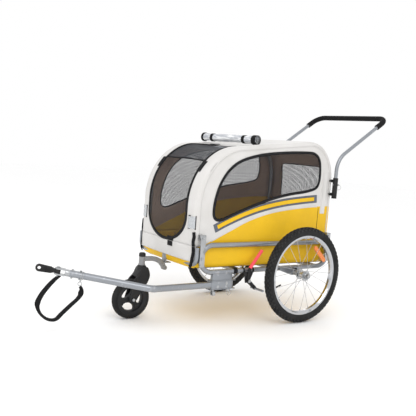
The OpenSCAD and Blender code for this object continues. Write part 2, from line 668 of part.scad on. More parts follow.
socket_d = handle_d + 8;
lug_in = socket_d / 2 - 1.5;
socket_z = [650, 762];
lock_z = 725;
module handle_sockets() color([0.1, 0.1, 0.1]) at_axle() both_sides() {
    difference() {
        translate([handle_x, socket_y, socket_z[0]]) pipe(socket_d, handle_d + 2 * run_gap,
            socket_z[1] - socket_z[0]);
        translate([handle_x, socket_y, lock_z]) rotate([-90, 0, 0]) cylinder(d = 6 + 2 * run_gap, h = 40,
            center = true);
    }
    for (z = [672, 745]) {
        translate([0, hinge_rear, z]) rod_x(8, hoop_x + hoop_d / 2 + 0.2,
            handle_x - hoop_x - hoop_d / 2 - lug_in - 0.1);
        translate([handle_x - lug_in, hinge_rear - 6, z - 8]) cube([4, 18, 16]);
    }
}
corner_r = 60;
module handle_path(d, wall) for (side = [0, 1]) mirror([side, 0, 0])
    translate([handle_x, socket_y, handle_base_z]) rotate([0, 0, 90])
        tube_run(d, wall, concat([[handle_bend_z - handle_base_z, handle_bend_r, handle_lean, 0],
            [handle_run - corner_r, corner_r, 90, 90]], side == 0 ? [[2 * (handle_x - corner_r), 1, 0,
                0]] : []));

// The slot under each lock pin is the height setting: the handle rises until the slot ends.
handle_travel = 60;
module handlebar() color("silver") at_axle() difference() {
    handle_path(handle_d, 2);
    both_sides() for (z = [lock_z - handle_travel, lock_z]) translate([handle_x, socket_y, z])
        rotate([-90, 0, 0]) cylinder(d = 6 + 2 * run_gap, h = 60, center = true);
    both_sides() translate([handle_x - 3 - run_gap, socket_y - 30, lock_z - handle_travel])
        cube([6 + 2 * run_gap, 60, handle_travel]);
}
grip_cut = 100;
module handle_grip() color([0.08, 0.08, 0.08]) at_axle() for (side = [0, 1]) mirror([side, 0, 0])
    translate([handle_x, handle_top_y - grip_cut * cos(handle_slope),
        handle_top_z - grip_cut * sin(handle_slope)])
        rotate([0, 0, 90]) rotate([0, handle_lean, 0]) tube_run(grip_d, (grip_d - handle_d) / 2 - 0.1,
            concat([[grip_cut - corner_r, corner_r, 90, 90]], side == 0 ? [[2 * (handle_x - corner_r), 1,
                0, 0]] : []));
module lock_pin(side) color("gainsboro") at_axle() translate([side * handle_x, socket_y, lock_z])
    rotate([-90, 0, 0]) {
    translate([0, 0, -socket_d / 2]) cylinder(d = 6, h = socket_d + 6);
    translate([0, 0, socket_d / 2 + 10]) sphere(d = 12);
}

// ---- Fabric cover above the sill ----

function bez(p, t) = pow(1 - t, 3) * p[0] + 3 * pow(1 - t, 2) * t * p[1] + 3 * (1 - t)
    * t * t * p[2] + t * t * t * p[3];
function arc_pts(p, n) = [for (i = [0 : n]) bez(p, i / n)];
front_top = [-400, roof_front_z];
rear_top = [65, roof_rear_z];
front_curve = [[-cabin_front, 600], [-cabin_front + 4, 740], [-540, roof_front_z - 26], front_top];
rear_curve = [rear_top, [170, roof_rear_z + 12], [cabin_rear - 8, roof_rear_z - 60], [cabin_rear, 740]];
arc_n = 12;
profile_line = concat([[-cabin_front, sill_z + 1]], arc_pts(front_curve, arc_n), arc_pts(rear_curve, arc_n),
    [[cabin_rear, sill_z + 1]]);
// The points of a line moved inwards by d, square to the line.
function inset_line(p, d) = [for (i = [0 : len(p) - 1]) let (t = route_dir(p, i)) p[i] + d * [t[1], -t[0]]];
// A band of thickness d along the profile, from point a to point b.
function band(d, a, b) = let (q = inset_line(profile_line, d))
    concat([for (i = [a : b]) profile_line[i]], [for (i = [b : -1 : a]) q[i]]);
front_split = 9;
rear_split = arc_n + 2 + 5;
line_end = len(profile_line) - 1;
window_outline = [[-519, 540], [-527, 590], [-516, 655], [-488, 725], [-440, 785], [-375, 826], [-270, 856],
    [-130, 876], [60, 888], [118, 880], [148, 850], [160, 790], [158, 735], [136, 700], [60, 680], [-60, 662],
    [-180, 634], [-300, 596], [-400, 560], [-480, 530]];
module side_sheet(side, t, x, outline, hole) color("whitesmoke") at_axle() mirror([side < 0 ? 1 : 0, 0, 0])
    difference() {
    plate_yz(x, t, outline);
    if (len(hole) > 0) plate_yz(x - 1, t + 2, hole);
    for (z = [672, 745]) translate([0, hinge_rear, z]) rod_x(14, side_x - 20, 40);
    for (y = [-hinge_front, hinge_rear]) translate([0, y, hinge_z]) rod_x(hinge_pin_d + 1, side_x - 20, 40);
}
module side_cover(side) side_sheet(side, cover_t, side_x - cover_t, profile_line, window_outline);
module side_windows() color([0.25, 0.25, 0.27]) at_axle() both_sides()
    plate_yz(side_x - cover_t / 2 - 0.5, 1, window_outline);

sheet_half = side_x - cover_t - 0.3;
module band_x(half, outline) translate([-half, 0, 0]) rotate([90, 0, 90]) linear_extrude(2 * half)
    polygon(outline);
door_half = 178;
door_low = 405;
door_bend = 130;
roof_door_end = -300;
// The door opening: round below, straight sides, and on over the curve of the front to the roof.
module door_cut(gap) {
    translate([-door_half + gap, -cabin_front - 60, door_low + door_bend])
        cube([2 * (door_half - gap), cabin_front + roof_door_end + 60 - gap, 600]);
    translate([0, -cabin_front + 10, door_low + door_bend]) rotate([90, 0, 0]) linear_extrude(20)
        polygon([for (a = [0 : 15 : 180]) [(door_half - gap) * cos(a), -(door_bend - gap) * sin(a)]]);
}
module front_cover() color("whitesmoke") at_axle() difference() {
    band_x(sheet_half, band(cover_t, 0, front_split));
    door_cut(0);
}
module roof_cover() color("whitesmoke") at_axle() difference() {
    band_x(sheet_half, band(cover_t, front_split, rear_split));
    door_cut(0);
}
module door_mesh() color([0.3, 0.3, 0.32]) at_axle() intersection() {
    band_x(door_half, band(1, 0, arc_n + 2));
    door_cut(0.3);
}
rear_win_half = 170;
rear_win_z = [600, 820];
module rear_win(gap) translate([-rear_win_half + gap, 100, rear_win_z[0] + gap])
    cube([2 * (rear_win_half - gap), 250, rear_win_z[1] - rear_win_z[0] - 2 * gap]);
module rear_cover() color("whitesmoke") at_axle() difference() {
    band_x(sheet_half, band(cover_t, rear_split, line_end));
    rear_win(0);
}
module rear_window() color([0.25, 0.25, 0.27]) at_axle() intersection() {
    band_x(sheet_half, band(1, rear_split, line_end));
    rear_win(0.3);
}
roll_d = 46;
roll_ahead = 275;
roll_half = 205;
module rain_cover_roll() color([0.8, 0.8, 0.82]) at_axle()
    translate([0, -roll_ahead, roof_front_z + 23 + roll_d / 2]) rotate([0, 0, 8]) rod_x(roll_d, -roll_half,
        2 * roll_half);

side_loop(1);  // side_loop_left
side_loop(-1);  // side_loop_right
crossbars();
floor_board();
floor_mat();
tub();
front_apron();
corner_guards();
fold_brackets();
fold_pins();
axle_carriers();
axles();
release_button(1);  // release_button_left
release_button(-1);  // release_button_right
caster_arm();
caster_cap();
caster_bushes();
caster_fork();
caster_wheel();
caster_tyre();
caster_axle();
receiver();
pivot_pin();
drawbar_latch();
rail_strap();
drawbar();
hitch_clevis();
hitch_pin();
snap_hook();
coupler();
safety_strap();
brake_brackets();
brake_lever(1);  // brake_lever_left
brake_lever(-1);  // brake_lever_right
brake_grip(1);  // brake_grip_left
brake_grip(-1);  // brake_grip_right
front_hoop();
rear_hoop();
handle_sockets();
handlebar();
handle_grip();
lock_pin(1);  // lock_pin_left
lock_pin(-1);  // lock_pin_right
front_cover();
side_cover(1);  // side_cover_left
side_cover(-1);  // side_cover_right
roof_cover();
rear_cover();
door_mesh();
side_windows();
rear_window();
rain_cover_roll();
wheel_rim(1);  // wheel_left
wheel_rim(-1);  // wheel_right
tyre(1);  // tyre_left
tyre(-1);  // tyre_right
hub(1);  // hub_left
hub(-1);  // hub_right
wheel_spokes(1);  // spokes_left
wheel_spokes(-1);  // spokes_right
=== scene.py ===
import math
import random

import bmesh
import bpy
import numpy as np
from mathutils import Matrix, Vector, noise
from mathutils.geometry import delaunay_2d_cdt


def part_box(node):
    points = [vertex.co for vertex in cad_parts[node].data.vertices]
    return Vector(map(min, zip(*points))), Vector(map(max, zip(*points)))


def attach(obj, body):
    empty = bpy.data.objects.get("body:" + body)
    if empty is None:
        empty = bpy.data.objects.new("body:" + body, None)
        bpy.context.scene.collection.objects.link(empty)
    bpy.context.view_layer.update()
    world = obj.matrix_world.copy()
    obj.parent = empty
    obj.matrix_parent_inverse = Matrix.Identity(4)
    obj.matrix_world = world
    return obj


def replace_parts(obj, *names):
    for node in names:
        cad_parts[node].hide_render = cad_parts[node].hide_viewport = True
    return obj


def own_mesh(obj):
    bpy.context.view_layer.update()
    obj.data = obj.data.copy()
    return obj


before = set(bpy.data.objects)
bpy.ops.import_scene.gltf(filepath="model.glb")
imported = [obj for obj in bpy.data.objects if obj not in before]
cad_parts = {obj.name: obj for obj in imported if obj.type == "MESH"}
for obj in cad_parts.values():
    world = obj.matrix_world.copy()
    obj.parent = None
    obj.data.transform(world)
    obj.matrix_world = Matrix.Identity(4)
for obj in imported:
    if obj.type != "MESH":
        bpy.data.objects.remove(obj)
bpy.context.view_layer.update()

# ---- Side loops and crossbars ----
# The chassis is 25 mm steel tube, bent and welded, with a satin silver powder coat.
# Two long loops stand on edge beside the cabin and four tubes join them.


class Wire:
    """A shader value that can be added, multiplied and compared like a number."""

    def __init__(self, finish, socket):
        self.finish = finish
        self.socket = socket

    def sum(self, operation, first, second):
        return self.finish.node("Math", {"operation": operation}, {0: first, 1: second})

    def __add__(self, other):
        return self.sum("ADD", self, other)

    def __radd__(self, other):
        return self.sum("ADD", other, self)

    def __sub__(self, other):
        return self.sum("SUBTRACT", self, other)

    def __rsub__(self, other):
        return self.sum("SUBTRACT", other, self)

    def __mul__(self, other):
        return self.sum("MULTIPLY", self, other)

    def __rmul__(self, other):
        return self.sum("MULTIPLY", other, self)

    def __truediv__(self, other):
        return self.sum("DIVIDE", self, other)

    def __pow__(self, other):
        return self.sum("POWER", self, other)

    def __gt__(self, other):
        return self.sum("GREATER_THAN", self, other)

    def __lt__(self, other):
        return self.sum("LESS_THAN", self, other)

    def wave(self, turns=1.0):
        """A sine of the value, from 0 to 1, with that many turns in each metre."""
        swing = self.finish.node("Math", {"operation": "SINE"}, {0: self * (2 * math.pi * turns)})
        return swing * 0.5 + 0.5


class Finish:
    """A material, and the one method that adds any node to it."""

    def __init__(self, name, **plain):
        self.material = bpy.data.materials.new(name)
        self.material.use_nodes = True
        self.tree = self.material.node_tree
        self.shader = self.tree.nodes["Principled BSDF"]
        for socket, value in plain.items():
            self.shader.inputs[socket.replace("_", " ")].default_value = value

    def node(self, kind, settings=None, sockets=None, out=0):
        made = self.tree.nodes.new("ShaderNode" + kind)
        for key, value in (settings or {}).items():
            if key == "stops":
                ramp = made.color_ramp
                while len(ramp.elements) < len(value):
                    ramp.elements.new(0.5)
                for element, (place, shade) in zip(ramp.elements, value):
                    element.position = place
                    element.color = shade
            else:
                setattr(made, key, value)
        for key, value in (sockets or {}).items():
            self.plug(made.inputs[key], value)
        return Wire(self, made.outputs[out])

    def plug(self, socket, value):
        if isinstance(value, Wire):
            self.tree.links.new(value.socket, socket)
        else:
            socket.default_value = value

    def place(self):
        return self.node("TexCoord", {}, {}, "Object")

    def axis(self, index):
        return self.node("SeparateXYZ", {}, {0: self.place()}, index)

    def grain(self, scale, detail=2.0, stretch=(1, 1, 1)):
        """Soft noise from 0 to 1, with that many lumps in each metre."""
        placed = self.node("Mapping", {}, {"Vector": self.place(), "Scale": stretch})
        return self.node("TexNoise", {}, {"Vector": placed, "Scale": scale, "Detail": detail})

    def step(self, value, low, high):
        return self.node("MapRange", {"interpolation_type": "SMOOTHSTEP"},
                         {"Value": value, "From Min": low, "From Max": high})

    def blend(self, share, first, second):
        return self.node("Mix", {"data_type": "RGBA"}, {0: share, 6: first, 7: second}, 2)

    def set(self, socket, value):
        self.plug(self.shader.inputs[socket], value)

    def relief(self, height, depth, strength=1.0):
        self.set("Normal", self.node("Bump", {}, {"Strength": strength, "Distance": depth, "Height": height}))


def shade(red, green, blue):
    return (red, green, blue, 1.0)


def silver_paint():
    """Silver powder coat: fine orange peel, a cloudy uneven tone, scuffed bright in places."""
    paint = Finish("silver_powder_coat", Metallic=0.75, Coat_Weight=0.25, Coat_Roughness=0.18)
    scuff = paint.step(paint.grain(38.0, 5.0), 0.60, 0.68)
    cloud = paint.grain(9.0, 3.0)
    base = paint.blend(cloud, shade(0.26, 0.275, 0.30), shade(0.33, 0.345, 0.37))
    paint.set("Base Color", paint.blend(scuff * 0.5, base, shade(0.50, 0.51, 0.53)))
    paint.set("Roughness", 0.30 + 0.14 * cloud - 0.08 * scuff)
    paint.relief(paint.grain(900.0, 2.0), 0.00012, 0.5)
    return paint.material


SILVER = silver_paint()


def dress(material, *nodes):
    """Gives CAD parts their finish."""
    for name in nodes:
        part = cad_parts[name]
        part.data.materials.clear()
        part.data.materials.append(material)


dress(SILVER, "side_loop_left", "side_loop_right", "crossbars")

hub_low, hub_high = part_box("hub_left")
AXLE_Y = (hub_low.y + hub_high.y) / 2
AXLE_Z = (hub_low.z + hub_high.z) / 2


def at(x, y, z):
    """A point in millimetres, measured from the axle line front to back and from the ground up."""
    return Vector((x / 1000, y / 1000 + AXLE_Y, z / 1000))


def make_piece(name, points, faces, materials, body, picks=None, smooth=True):
    """A mesh in its final place, with its finishes, riding on a body."""
    mesh = bpy.data.meshes.new(name)
    mesh.from_pydata([tuple(p) for p in points], [], [tuple(f) for f in faces])
    mesh.update()
    piece = bpy.data.objects.new(name, mesh)
    bpy.context.scene.collection.objects.link(piece)
    for material in materials:
        mesh.materials.append(material)
    if picks is not None:
        mesh.polygons.foreach_set("material_index", picks)
    mesh.polygons.foreach_set("use_smooth", [smooth] * len(mesh.polygons))
    tidy_normals(piece)
    if body:
        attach(piece, body)
    return piece


def tidy_normals(piece):
    work = bmesh.new()
    work.from_mesh(piece.data)
    bmesh.ops.remove_doubles(work, verts=work.verts, dist=0.00002)
    bmesh.ops.recalc_face_normals(work, faces=work.faces)
    work.to_mesh(piece.data)
    work.free()


def bake_down(piece):
    """Turns a piece's modifiers into plain mesh."""
    bpy.context.view_layer.update()
    graph = bpy.context.evaluated_depsgraph_get()
    mesh = bpy.data.meshes.new_from_object(piece.evaluated_get(graph))
    piece.modifiers.clear()
    piece.data = mesh
    return piece


def sweep(path, outline, closed=False, spin=0.0, up=Vector((0, 0, 1)), sizes=None):
    """Points and faces of an outline carried along a path; the outline is given as (across, up)."""
    count = len(path)
    width = len(outline)
    points = []
    for i, p in enumerate(path):
        ahead = path[(i + 1) % count] if closed or i + 1 < count else p
        behind = path[i - 1] if closed or i > 0 else p
        along = (ahead - behind).normalized()
        lift = up[i] if isinstance(up, list) else up
        side = along.cross(lift).normalized()
        top = side.cross(along)
        size = sizes[i] if sizes else 1.0
        for a, b in outline:
            turned = (a * math.cos(spin) - b * math.sin(spin), a * math.sin(spin) + b * math.cos(spin))
            points.append(p + side * turned[0] * size + top * turned[1] * size)
    faces = []
    for i in range(count if closed else count - 1):
        j = (i + 1) % count
        for k in range(width):
            n = (k + 1) % width
            faces.append((i * width + k, i * width + n, j * width + n, j * width + k))
    if not closed:
        faces.append(tuple(range(width))[::-1])
        faces.append(tuple((count - 1) * width + k for k in range(width)))
    return points, faces


def ring_outline(radius, sides=12):
    return [(radius * math.cos(2 * math.pi * k / sides), radius * math.sin(2 * math.pi * k / sides))
            for k in range(sides)]


def curve_through(knots, count):
    """A smooth line through some points, as that many evenly spaced points."""
    line = []
    last = len(knots) - 1
    for i in range(last):
        a, b, c, d = knots[max(i - 1, 0)], knots[i], knots[i + 1], knots[min(i + 2, last)]
        for step in range(24):
            t = step / 24
            line.append(0.5 * ((2 * b) + (c - a) * t + (2 * a - 5 * b + 4 * c - d) * t * t
                               + (3 * b - a - 3 * c + d) * t ** 3))
    line.append(knots[last].copy())
    return even(line, count)


def even(line, count, closed=False):
    """The same line with that many evenly spaced points."""
    if closed:
        line = line + [line[0]]
    gaps = [0.0]
    for a, b in zip(line, line[1:]):
        gaps.append(gaps[-1] + (b - a).length)
    marks = [gaps[-1] * k / (count if closed else count - 1) for k in range(count)]
    out = []
    i = 0
    for mark in marks:
        while i < len(line) - 2 and gaps[i + 1] < mark:
            i += 1
        span = max(gaps[i + 1] - gaps[i], 1e-9)
        out.append(line[i].lerp(line[i + 1], min(max((mark - gaps[i]) / span, 0), 1)))
    return out


def turned_shape(name, profile, centre, direction, materials, body, sides=64, picks=None):
    """A shape turned on a lathe: profile points are (along the axis, radius) in millimetres."""
    direction = direction.normalized()
    helper = Vector((0, 0, 1)) if abs(direction.z) < 0.9 else Vector((1, 0, 0))
    side = direction.cross(helper).normalized()
    top = direction.cross(side)
    points = []
    for along, radius in profile:
        for k in range(sides):
            angle = 2 * math.pi * k / sides
            points.append(centre + direction * (along / 1000)
                          + (side * math.cos(angle) + top * math.sin(angle)) * (max(radius, 0.0) / 1000))
    faces = []
    marks = []
    for i in range(len(profile) - 1):
        for k in range(sides):
            n = (k + 1) % sides
            faces.append((i * sides + k, i * sides + n, (i + 1) * sides + n, (i + 1) * sides + k))
            marks.append(picks[i] if picks else 0)
    if profile[0] != profile[-1]:
        for i, flip in ((0, True), (len(profile) - 1, False)):
            if profile[i][1] > 0.001:
                cap = [i * sides + k for k in range(sides)]
                faces.append(tuple(reversed(cap)) if flip else tuple(cap))
                marks.append(picks[min(i, len(profile) - 2)] if picks else 0)
    piece = make_piece(name, points, faces, materials, None, marks)
    crease(piece)
    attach(piece, body)
    return piece


def crease(piece, angle=38):
    """Keeps edges sharper than the angle crisp, and shades the rest smooth."""
    work = bmesh.new()
    work.from_mesh(piece.data)
    for edge in work.edges:
        if len(edge.link_faces) == 2 and edge.calc_face_angle(0) > math.radians(angle):
            edge.smooth = False
    work.to_mesh(piece.data)
    work.free()


def softened(node, width, material, body, segments=2, name=None):
    """A CAD part's own shape with rounded edges, as a casting or moulding has."""
    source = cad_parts[node]
    piece = bpy.data.objects.new(name or node + "_finished", source.data.copy())
    bpy.context.scene.collection.objects.link(piece)
    work = bmesh.new()
    work.from_mesh(piece.data)
    bmesh.ops.remove_doubles(work, verts=work.verts, dist=0.00001)
    bmesh.ops.dissolve_limit(work, angle_limit=math.radians(1.0), verts=work.verts, edges=work.edges)
    for face in work.faces:
        face.smooth = True
    work.to_mesh(piece.data)
    work.free()
    rounding = piece.modifiers.new("rounding", "BEVEL")
    rounding.width = width
    rounding.segments = segments
    rounding.limit_method = "ANGLE"
    rounding.angle_limit = math.radians(35)
    rounding.harden_normals = False
    bake_down(piece)
    piece.data.materials.clear()
    piece.data.materials.append(material)
    crease(piece, 50)
    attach(piece, body)
    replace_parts(piece, node)
    return piece


# ---- Cabin floor ----
# A ribbed black board lies on the crossbars inside the tub, and a quilted pad of
# brown polyester, about 18 mm thick, lies on the board.


def board_finish():
    board = Finish("ribbed_board", Roughness=0.6)
    ribs = board.axis(0).wave(60)
    board.set("Base Color", board.blend(board.grain(20.0), shade(0.018, 0.018, 0.02),
                                        shade(0.035, 0.035, 0.038)))
    board.relief(ribs, 0.001, 0.6)
    return board.material


dress(board_finish(), "floor_board")


def cloth_finish(name, dark, light, pitch=1100, roughness=0.7, depth=0.0002, sheen=0.15, crumple=0.0012):
    """Woven cloth: threads over and under at a fine pitch, soft creases and uneven dye."""
    cloth = Finish(name, Sheen_Weight=sheen)
    across = cloth.axis(1).wave(pitch)
    up = cloth.axis(2).wave(pitch)
    side = cloth.axis(0).wave(pitch)
    weave = across * up + up * side + side * across
    cloud = cloth.grain(7.0, 3.0)
    fleck = cloth.grain(240.0, 2.0)
    tint = cloth.step(cloud * 0.7 + fleck * 0.3, 0.3, 0.7)
    cloth.set("Base Color", cloth.blend(tint, dark, light))
    cloth.set("Roughness", roughness + 0.12 * (fleck - 0.5))
    fine = cloth.node("Bump", {}, {"Strength": 0.35, "Distance": depth, "Height": weave * 0.34})
    creases = cloth.grain(11.0, 4.0, (1, 0.8, 1.4))
    cloth.set("Normal", cloth.node("Bump", {}, {"Strength": 0.5, "Distance": crumple * 6, "Height": creases,
                                                "Normal": fine}))
    return cloth.material


MAT_CLOTH = cloth_finish("brown_quilted_cloth", shade(0.13, 0.10, 0.085), shade(0.20, 0.155, 0.135), 800)

mat_low, mat_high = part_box("floor_mat")
MAT_LINES = 5


def quilted_pad():
    """A pad whose top is crowned between its sewn lines and pulled in at its edge."""
    across, along = 44, 72
    size = mat_high - mat_low
    points, faces = [], []
    for layer in (0, 1):
        for j in range(along + 1):
            for i in range(across + 1):
                u, v = i / across, j / along
                edge = min(u, 1 - u) * size.x, min(v, 1 - v) * size.y
                near = min(min(edge) / 0.02, 1.0)
                crown = math.sqrt(max(0.0, 1 - (1 - near) ** 2))
                tuft = abs(math.sin(math.pi * MAT_LINES * v)) ** 0.5 * abs(math.sin(math.pi * 3 * u)) ** 0.5
                top = 0.35 + 0.65 * (0.55 + 0.45 * tuft) * crown
                z = mat_low.z + (size.z * top if layer else size.z * 0.3 * (1 - crown))
                points.append((mat_low.x + u * size.x, mat_low.y + v * size.y, z))
    row = across + 1
    sheet = row * (along + 1)
    for j in range(along):
        for i in range(across):
            a = j * row + i
            faces.append((a + sheet, a + 1 + sheet, a + 1 + row + sheet, a + row + sheet))
            faces.append((a, a + row, a + row + 1, a + 1))
    rim = [i for i in range(across)] + [across + j * row for j in range(along)]
    rim += [along * row + i for i in range(across, 0, -1)] + [j * row for j in range(along, 0, -1)]
    for a, b in zip(rim, rim[1:] + rim[:1]):
        faces.append((a, b, b + sheet, a + sheet))
    pad = make_piece("floor_pad", points, faces, [MAT_CLOTH], "chassis")
    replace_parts(pad, "floor_mat")


quilted_pad()

# ---- Tub ----
# The fixed lower part of the cabin is one tray of coated yellow polyester. Its walls bow
# out a little between the crossbars and its corners are rounded.

YELLOW = cloth_finish("yellow_coated_cloth", shade(0.74, 0.44, 0.0), shade(0.83, 0.50, 0.0), 900, 0.62,
                      sheen=0.0)
WHITE = cloth_finish("white_coated_cloth", shade(0.60, 0.585, 0.565), shade(0.67, 0.655, 0.64), 900, 0.6)
# The lining's brown is set much paler than the cloth's own dark brown: painted light that makes up for the
# shade inside the cabin.
BROWN_LINING_PAINTED_LIGHT = cloth_finish("brown_lining_painted_light", shade(0.44, 0.33, 0.27), shade(0.54, 0.41, 0.34), 800, 0.8)

tub_low, tub_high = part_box("tub")
SILL = tub_high.z
TUB_CORNER = 0.028


def tub_loop(low, high, corner, grow):
    """A rounded rectangle in plan, as points counterclockwise."""
    x = high.x + grow
    front, back = low.y - grow, high.y + grow
    line = []
    for cx, cy, start in ((x - corner, front + corner, -90), (x - corner, back - corner, 0),
                          (-x + corner, back - corner, 90), (-x + corner, front + corner, 180)):
        for k in range(7):
            angle = math.radians(start + 15 * k)
            line.append(Vector((cx + corner * math.cos(angle), cy + corner * math.sin(angle), 0)))
    return even(line, 220, closed=True)


def tub_tray(name, inset, floor_z, material):
    heights = [(floor_z, -0.030), (floor_z + 0.002, -0.010), (floor_z + 0.010, -0.002)]
    for k in range(1, 9):
        t = k / 8
        heights.append((floor_z + 0.010 + (SILL - floor_z - 0.010) * t, 0.003 * math.sin(math.pi * t)))
    rings = []
    for z, grow in heights:
        ring = tub_loop(tub_low, tub_high, TUB_CORNER, grow - inset)
        for p in ring:
            wrinkle = noise.noise(Vector((p.x * 9, p.y * 9, z * 22))) * 0.0015
            p.z = z
            if p.y < tub_low.y + TUB_CORNER:
                p.y += 0.002 + 0.010 * (p.x / tub_high.x) ** 2
            rings.append(p + Vector((p.x, 0, 0)).normalized() * wrinkle * (1 if abs(p.x) > 0.2 else 0))
    count = 220
    faces = []
    for r in range(len(heights) - 1):
        for k in range(count):
            n = (k + 1) % count
            faces.append((r * count + k, r * count + n, (r + 1) * count + n, (r + 1) * count + k))
    faces.append(tuple(range(count - 1, -1, -1)))
    tray = make_piece(name, rings, faces, [material], None)
    wall = tray.modifiers.new("cloth", "SOLIDIFY")
    wall.thickness = 0.0012
    wall.offset = -1
    bake_down(tray)
    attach(tray, "chassis")
    return tray


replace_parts(tub_tray("tub_tray", 0.0, tub_low.z, YELLOW), "tub")

# ---- Axles, hubs, rims and spokes ----
# Each wheel turns on a 12 mm plated stub axle: an alloy hub, 20 plated spokes with plated
# nipples, and a chromed steel rim with a polished wall.


def plated_finish(name, dark, light, roughness=0.14):
    """Bright plating: nearly a mirror, with faint polishing lines and a few dull spots."""
    plate = Finish(name, Metallic=1.0)
    lines = plate.grain(420.0, 2.0, (1, 0.05, 1))
    spot = plate.step(plate.grain(24.0, 4.0), 0.58, 0.70)
    plate.set("Base Color", plate.blend(spot * 0.7, light, dark))
    plate.set("Roughness", roughness + 0.05 * lines + 0.16 * spot)
    plate.relief(lines, 0.00004, 0.3)
    return plate.material


CHROME = plated_finish("chrome_plate", shade(0.16, 0.17, 0.18), shade(0.52, 0.53, 0.55))
ZINC = plated_finish("zinc_plate", shade(0.20, 0.21, 0.22), shade(0.44, 0.45, 0.46), 0.26)
ALLOY = plated_finish("cast_alloy", shade(0.40, 0.41, 0.42), shade(0.60, 0.61, 0.62), 0.30)


def moulded_finish(name, dark, light, roughness=0.5):
    """Moulded plastic: fine spark-eroded texture and a cloudy, uneven tone."""
    plastic = Finish(name, Specular_IOR_Level=0.35)
    fleck = plastic.grain(700.0, 2.0)
    cloud = plastic.grain(12.0, 3.0)
    plastic.set("Base Color", plastic.blend(plastic.step(cloud, 0.35, 0.7), dark, light))
    plastic.set("Roughness", roughness + 0.1 * (fleck - 0.5))
    plastic.relief(fleck, 0.00015, 0.5)
    return plastic.material


BLACK = moulded_finish("black_moulded_plastic", shade(0.006, 0.006, 0.007), shade(0.013, 0.013, 0.014))
dress(CHROME, "wheel_left", "wheel_right", "spokes_left", "spokes_right")
dress(ZINC, "axles", "hub_left", "hub_right", "fold_pins")
dress(SILVER, "axle_carriers")


def ring_tree():
    """Copies of one shape set round a circle, facing outwards."""
    tree = bpy.data.node_groups.new("ring_of_copies", "GeometryNodeTree")
    face = tree.interface
    face.new_socket("Geometry", in_out="INPUT", socket_type="NodeSocketGeometry")
    face.new_socket("Count", in_out="INPUT", socket_type="NodeSocketInt")
    face.new_socket("Radius", in_out="INPUT", socket_type="NodeSocketFloat")
    face.new_socket("Start angle", in_out="INPUT", socket_type="NodeSocketFloat")
    face.new_socket("Shape", in_out="INPUT", socket_type="NodeSocketObject")
    face.new_socket("Finish", in_out="INPUT", socket_type="NodeSocketMaterial")
    face.new_socket("Geometry", in_out="OUTPUT", socket_type="NodeSocketGeometry")
    nodes, links = tree.nodes, tree.links
    source, sink = nodes.new("NodeGroupInput"), nodes.new("NodeGroupOutput")
    circle = nodes.new("GeometryNodeMeshCircle")
    shape = nodes.new("GeometryNodeObjectInfo")
    index = nodes.new("GeometryNodeInputIndex")
    share = nodes.new("ShaderNodeMath")
    share.operation = "DIVIDE"
    turn = nodes.new("ShaderNodeMath")
    turn.operation = "MULTIPLY"
    turn.inputs[1].default_value = 2 * math.pi
    angle = nodes.new("ShaderNodeCombineXYZ")
    copies = nodes.new("GeometryNodeInstanceOnPoints")
    real = nodes.new("GeometryNodeRealizeInstances")
    spin = nodes.new("GeometryNodeTransform")
    start = nodes.new("ShaderNodeCombineXYZ")
    paint = nodes.new("GeometryNodeSetMaterial")
    links.new(source.outputs["Count"], circle.inputs["Vertices"])
    links.new(source.outputs["Radius"], circle.inputs["Radius"])
    links.new(source.outputs["Shape"], shape.inputs["Object"])
    links.new(index.outputs[0], share.inputs[0])
    links.new(source.outputs["Count"], share.inputs[1])
    links.new(share.outputs[0], turn.inputs[0])
    links.new(turn.outputs[0], angle.inputs["Z"])
    links.new(circle.outputs["Mesh"], copies.inputs["Points"])
    links.new(shape.outputs["Geometry"], copies.inputs["Instance"])
    links.new(angle.outputs[0], copies.inputs["Rotation"])
    links.new(copies.outputs[0], real.inputs[0])
    links.new(real.outputs[0], spin.inputs["Geometry"])
    links.new(source.outputs["Start angle"], start.inputs["Z"])
    links.new(start.outputs[0], spin.inputs["Rotation"])
    links.new(spin.outputs[0], paint.inputs["Geometry"])
    links.new(source.outputs["Finish"], paint.inputs["Material"])
    links.new(paint.outputs[0], sink.inputs[0])
    return tree


RING_TREE = ring_tree()


def block(points, faces):
    mesh = bpy.data.meshes.new("block")
    mesh.from_pydata([(x / 1000, y / 1000, z / 1000) for x, y, z in points], [], faces)
    piece = bpy.data.objects.new("block", mesh)
    bpy.context.scene.collection.objects.link(piece)
    return piece


def ring_of(shape, count, radius, start, material):
    """The mesh of copies round the Z axis; the shape's own X points outwards."""
    holder = bpy.data.objects.new("ring", bpy.data.meshes.new("ring"))
    bpy.context.scene.collection.objects.link(holder)
    modifier = holder.modifiers.new("ring", "NODES")
    modifier.node_group = RING_TREE
    values = {"Count": count, "Radius": radius / 1000, "Start angle": start, "Shape": shape,
              "Finish": material}
    for item in RING_TREE.interface.items_tree:
        if item.in_out == "INPUT" and item.name in values:
            modifier[item.identifier] = values[item.name]
    bake_down(holder)
    return holder


def onto_axle(piece, centre, facing=1):
    """Turns a piece made round the Z axis so that its axis is the axle."""
    turn = Matrix.Rotation(math.radians(90 * facing), 4, "Y")
    piece.data.transform(Matrix.Translation(centre) @ turn)
    return piece


def joined(name, pieces, body):
    """Several meshes as one piece."""
    work = bmesh.new()
    materials = []
    for piece in pieces:
        base = len(work.faces)
        work.from_mesh(piece.data)
        work.faces.ensure_lookup_table()
        slots = []
        for material in piece.data.materials:
            if material not in materials:
                materials.append(material)
            slots.append(materials.index(material))
        for face in work.faces[base:]:
            face.material_index = slots[face.material_index] if slots else 0
        bpy.data.objects.remove(piece)
    mesh = bpy.data.meshes.new(name)
    work.to_mesh(mesh)
    work.free()
    for material in materials:
        mesh.materials.append(material)
    made = bpy.data.objects.new(name, mesh)
    bpy.context.scene.collection.objects.link(made)
    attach(made, body)
    return made


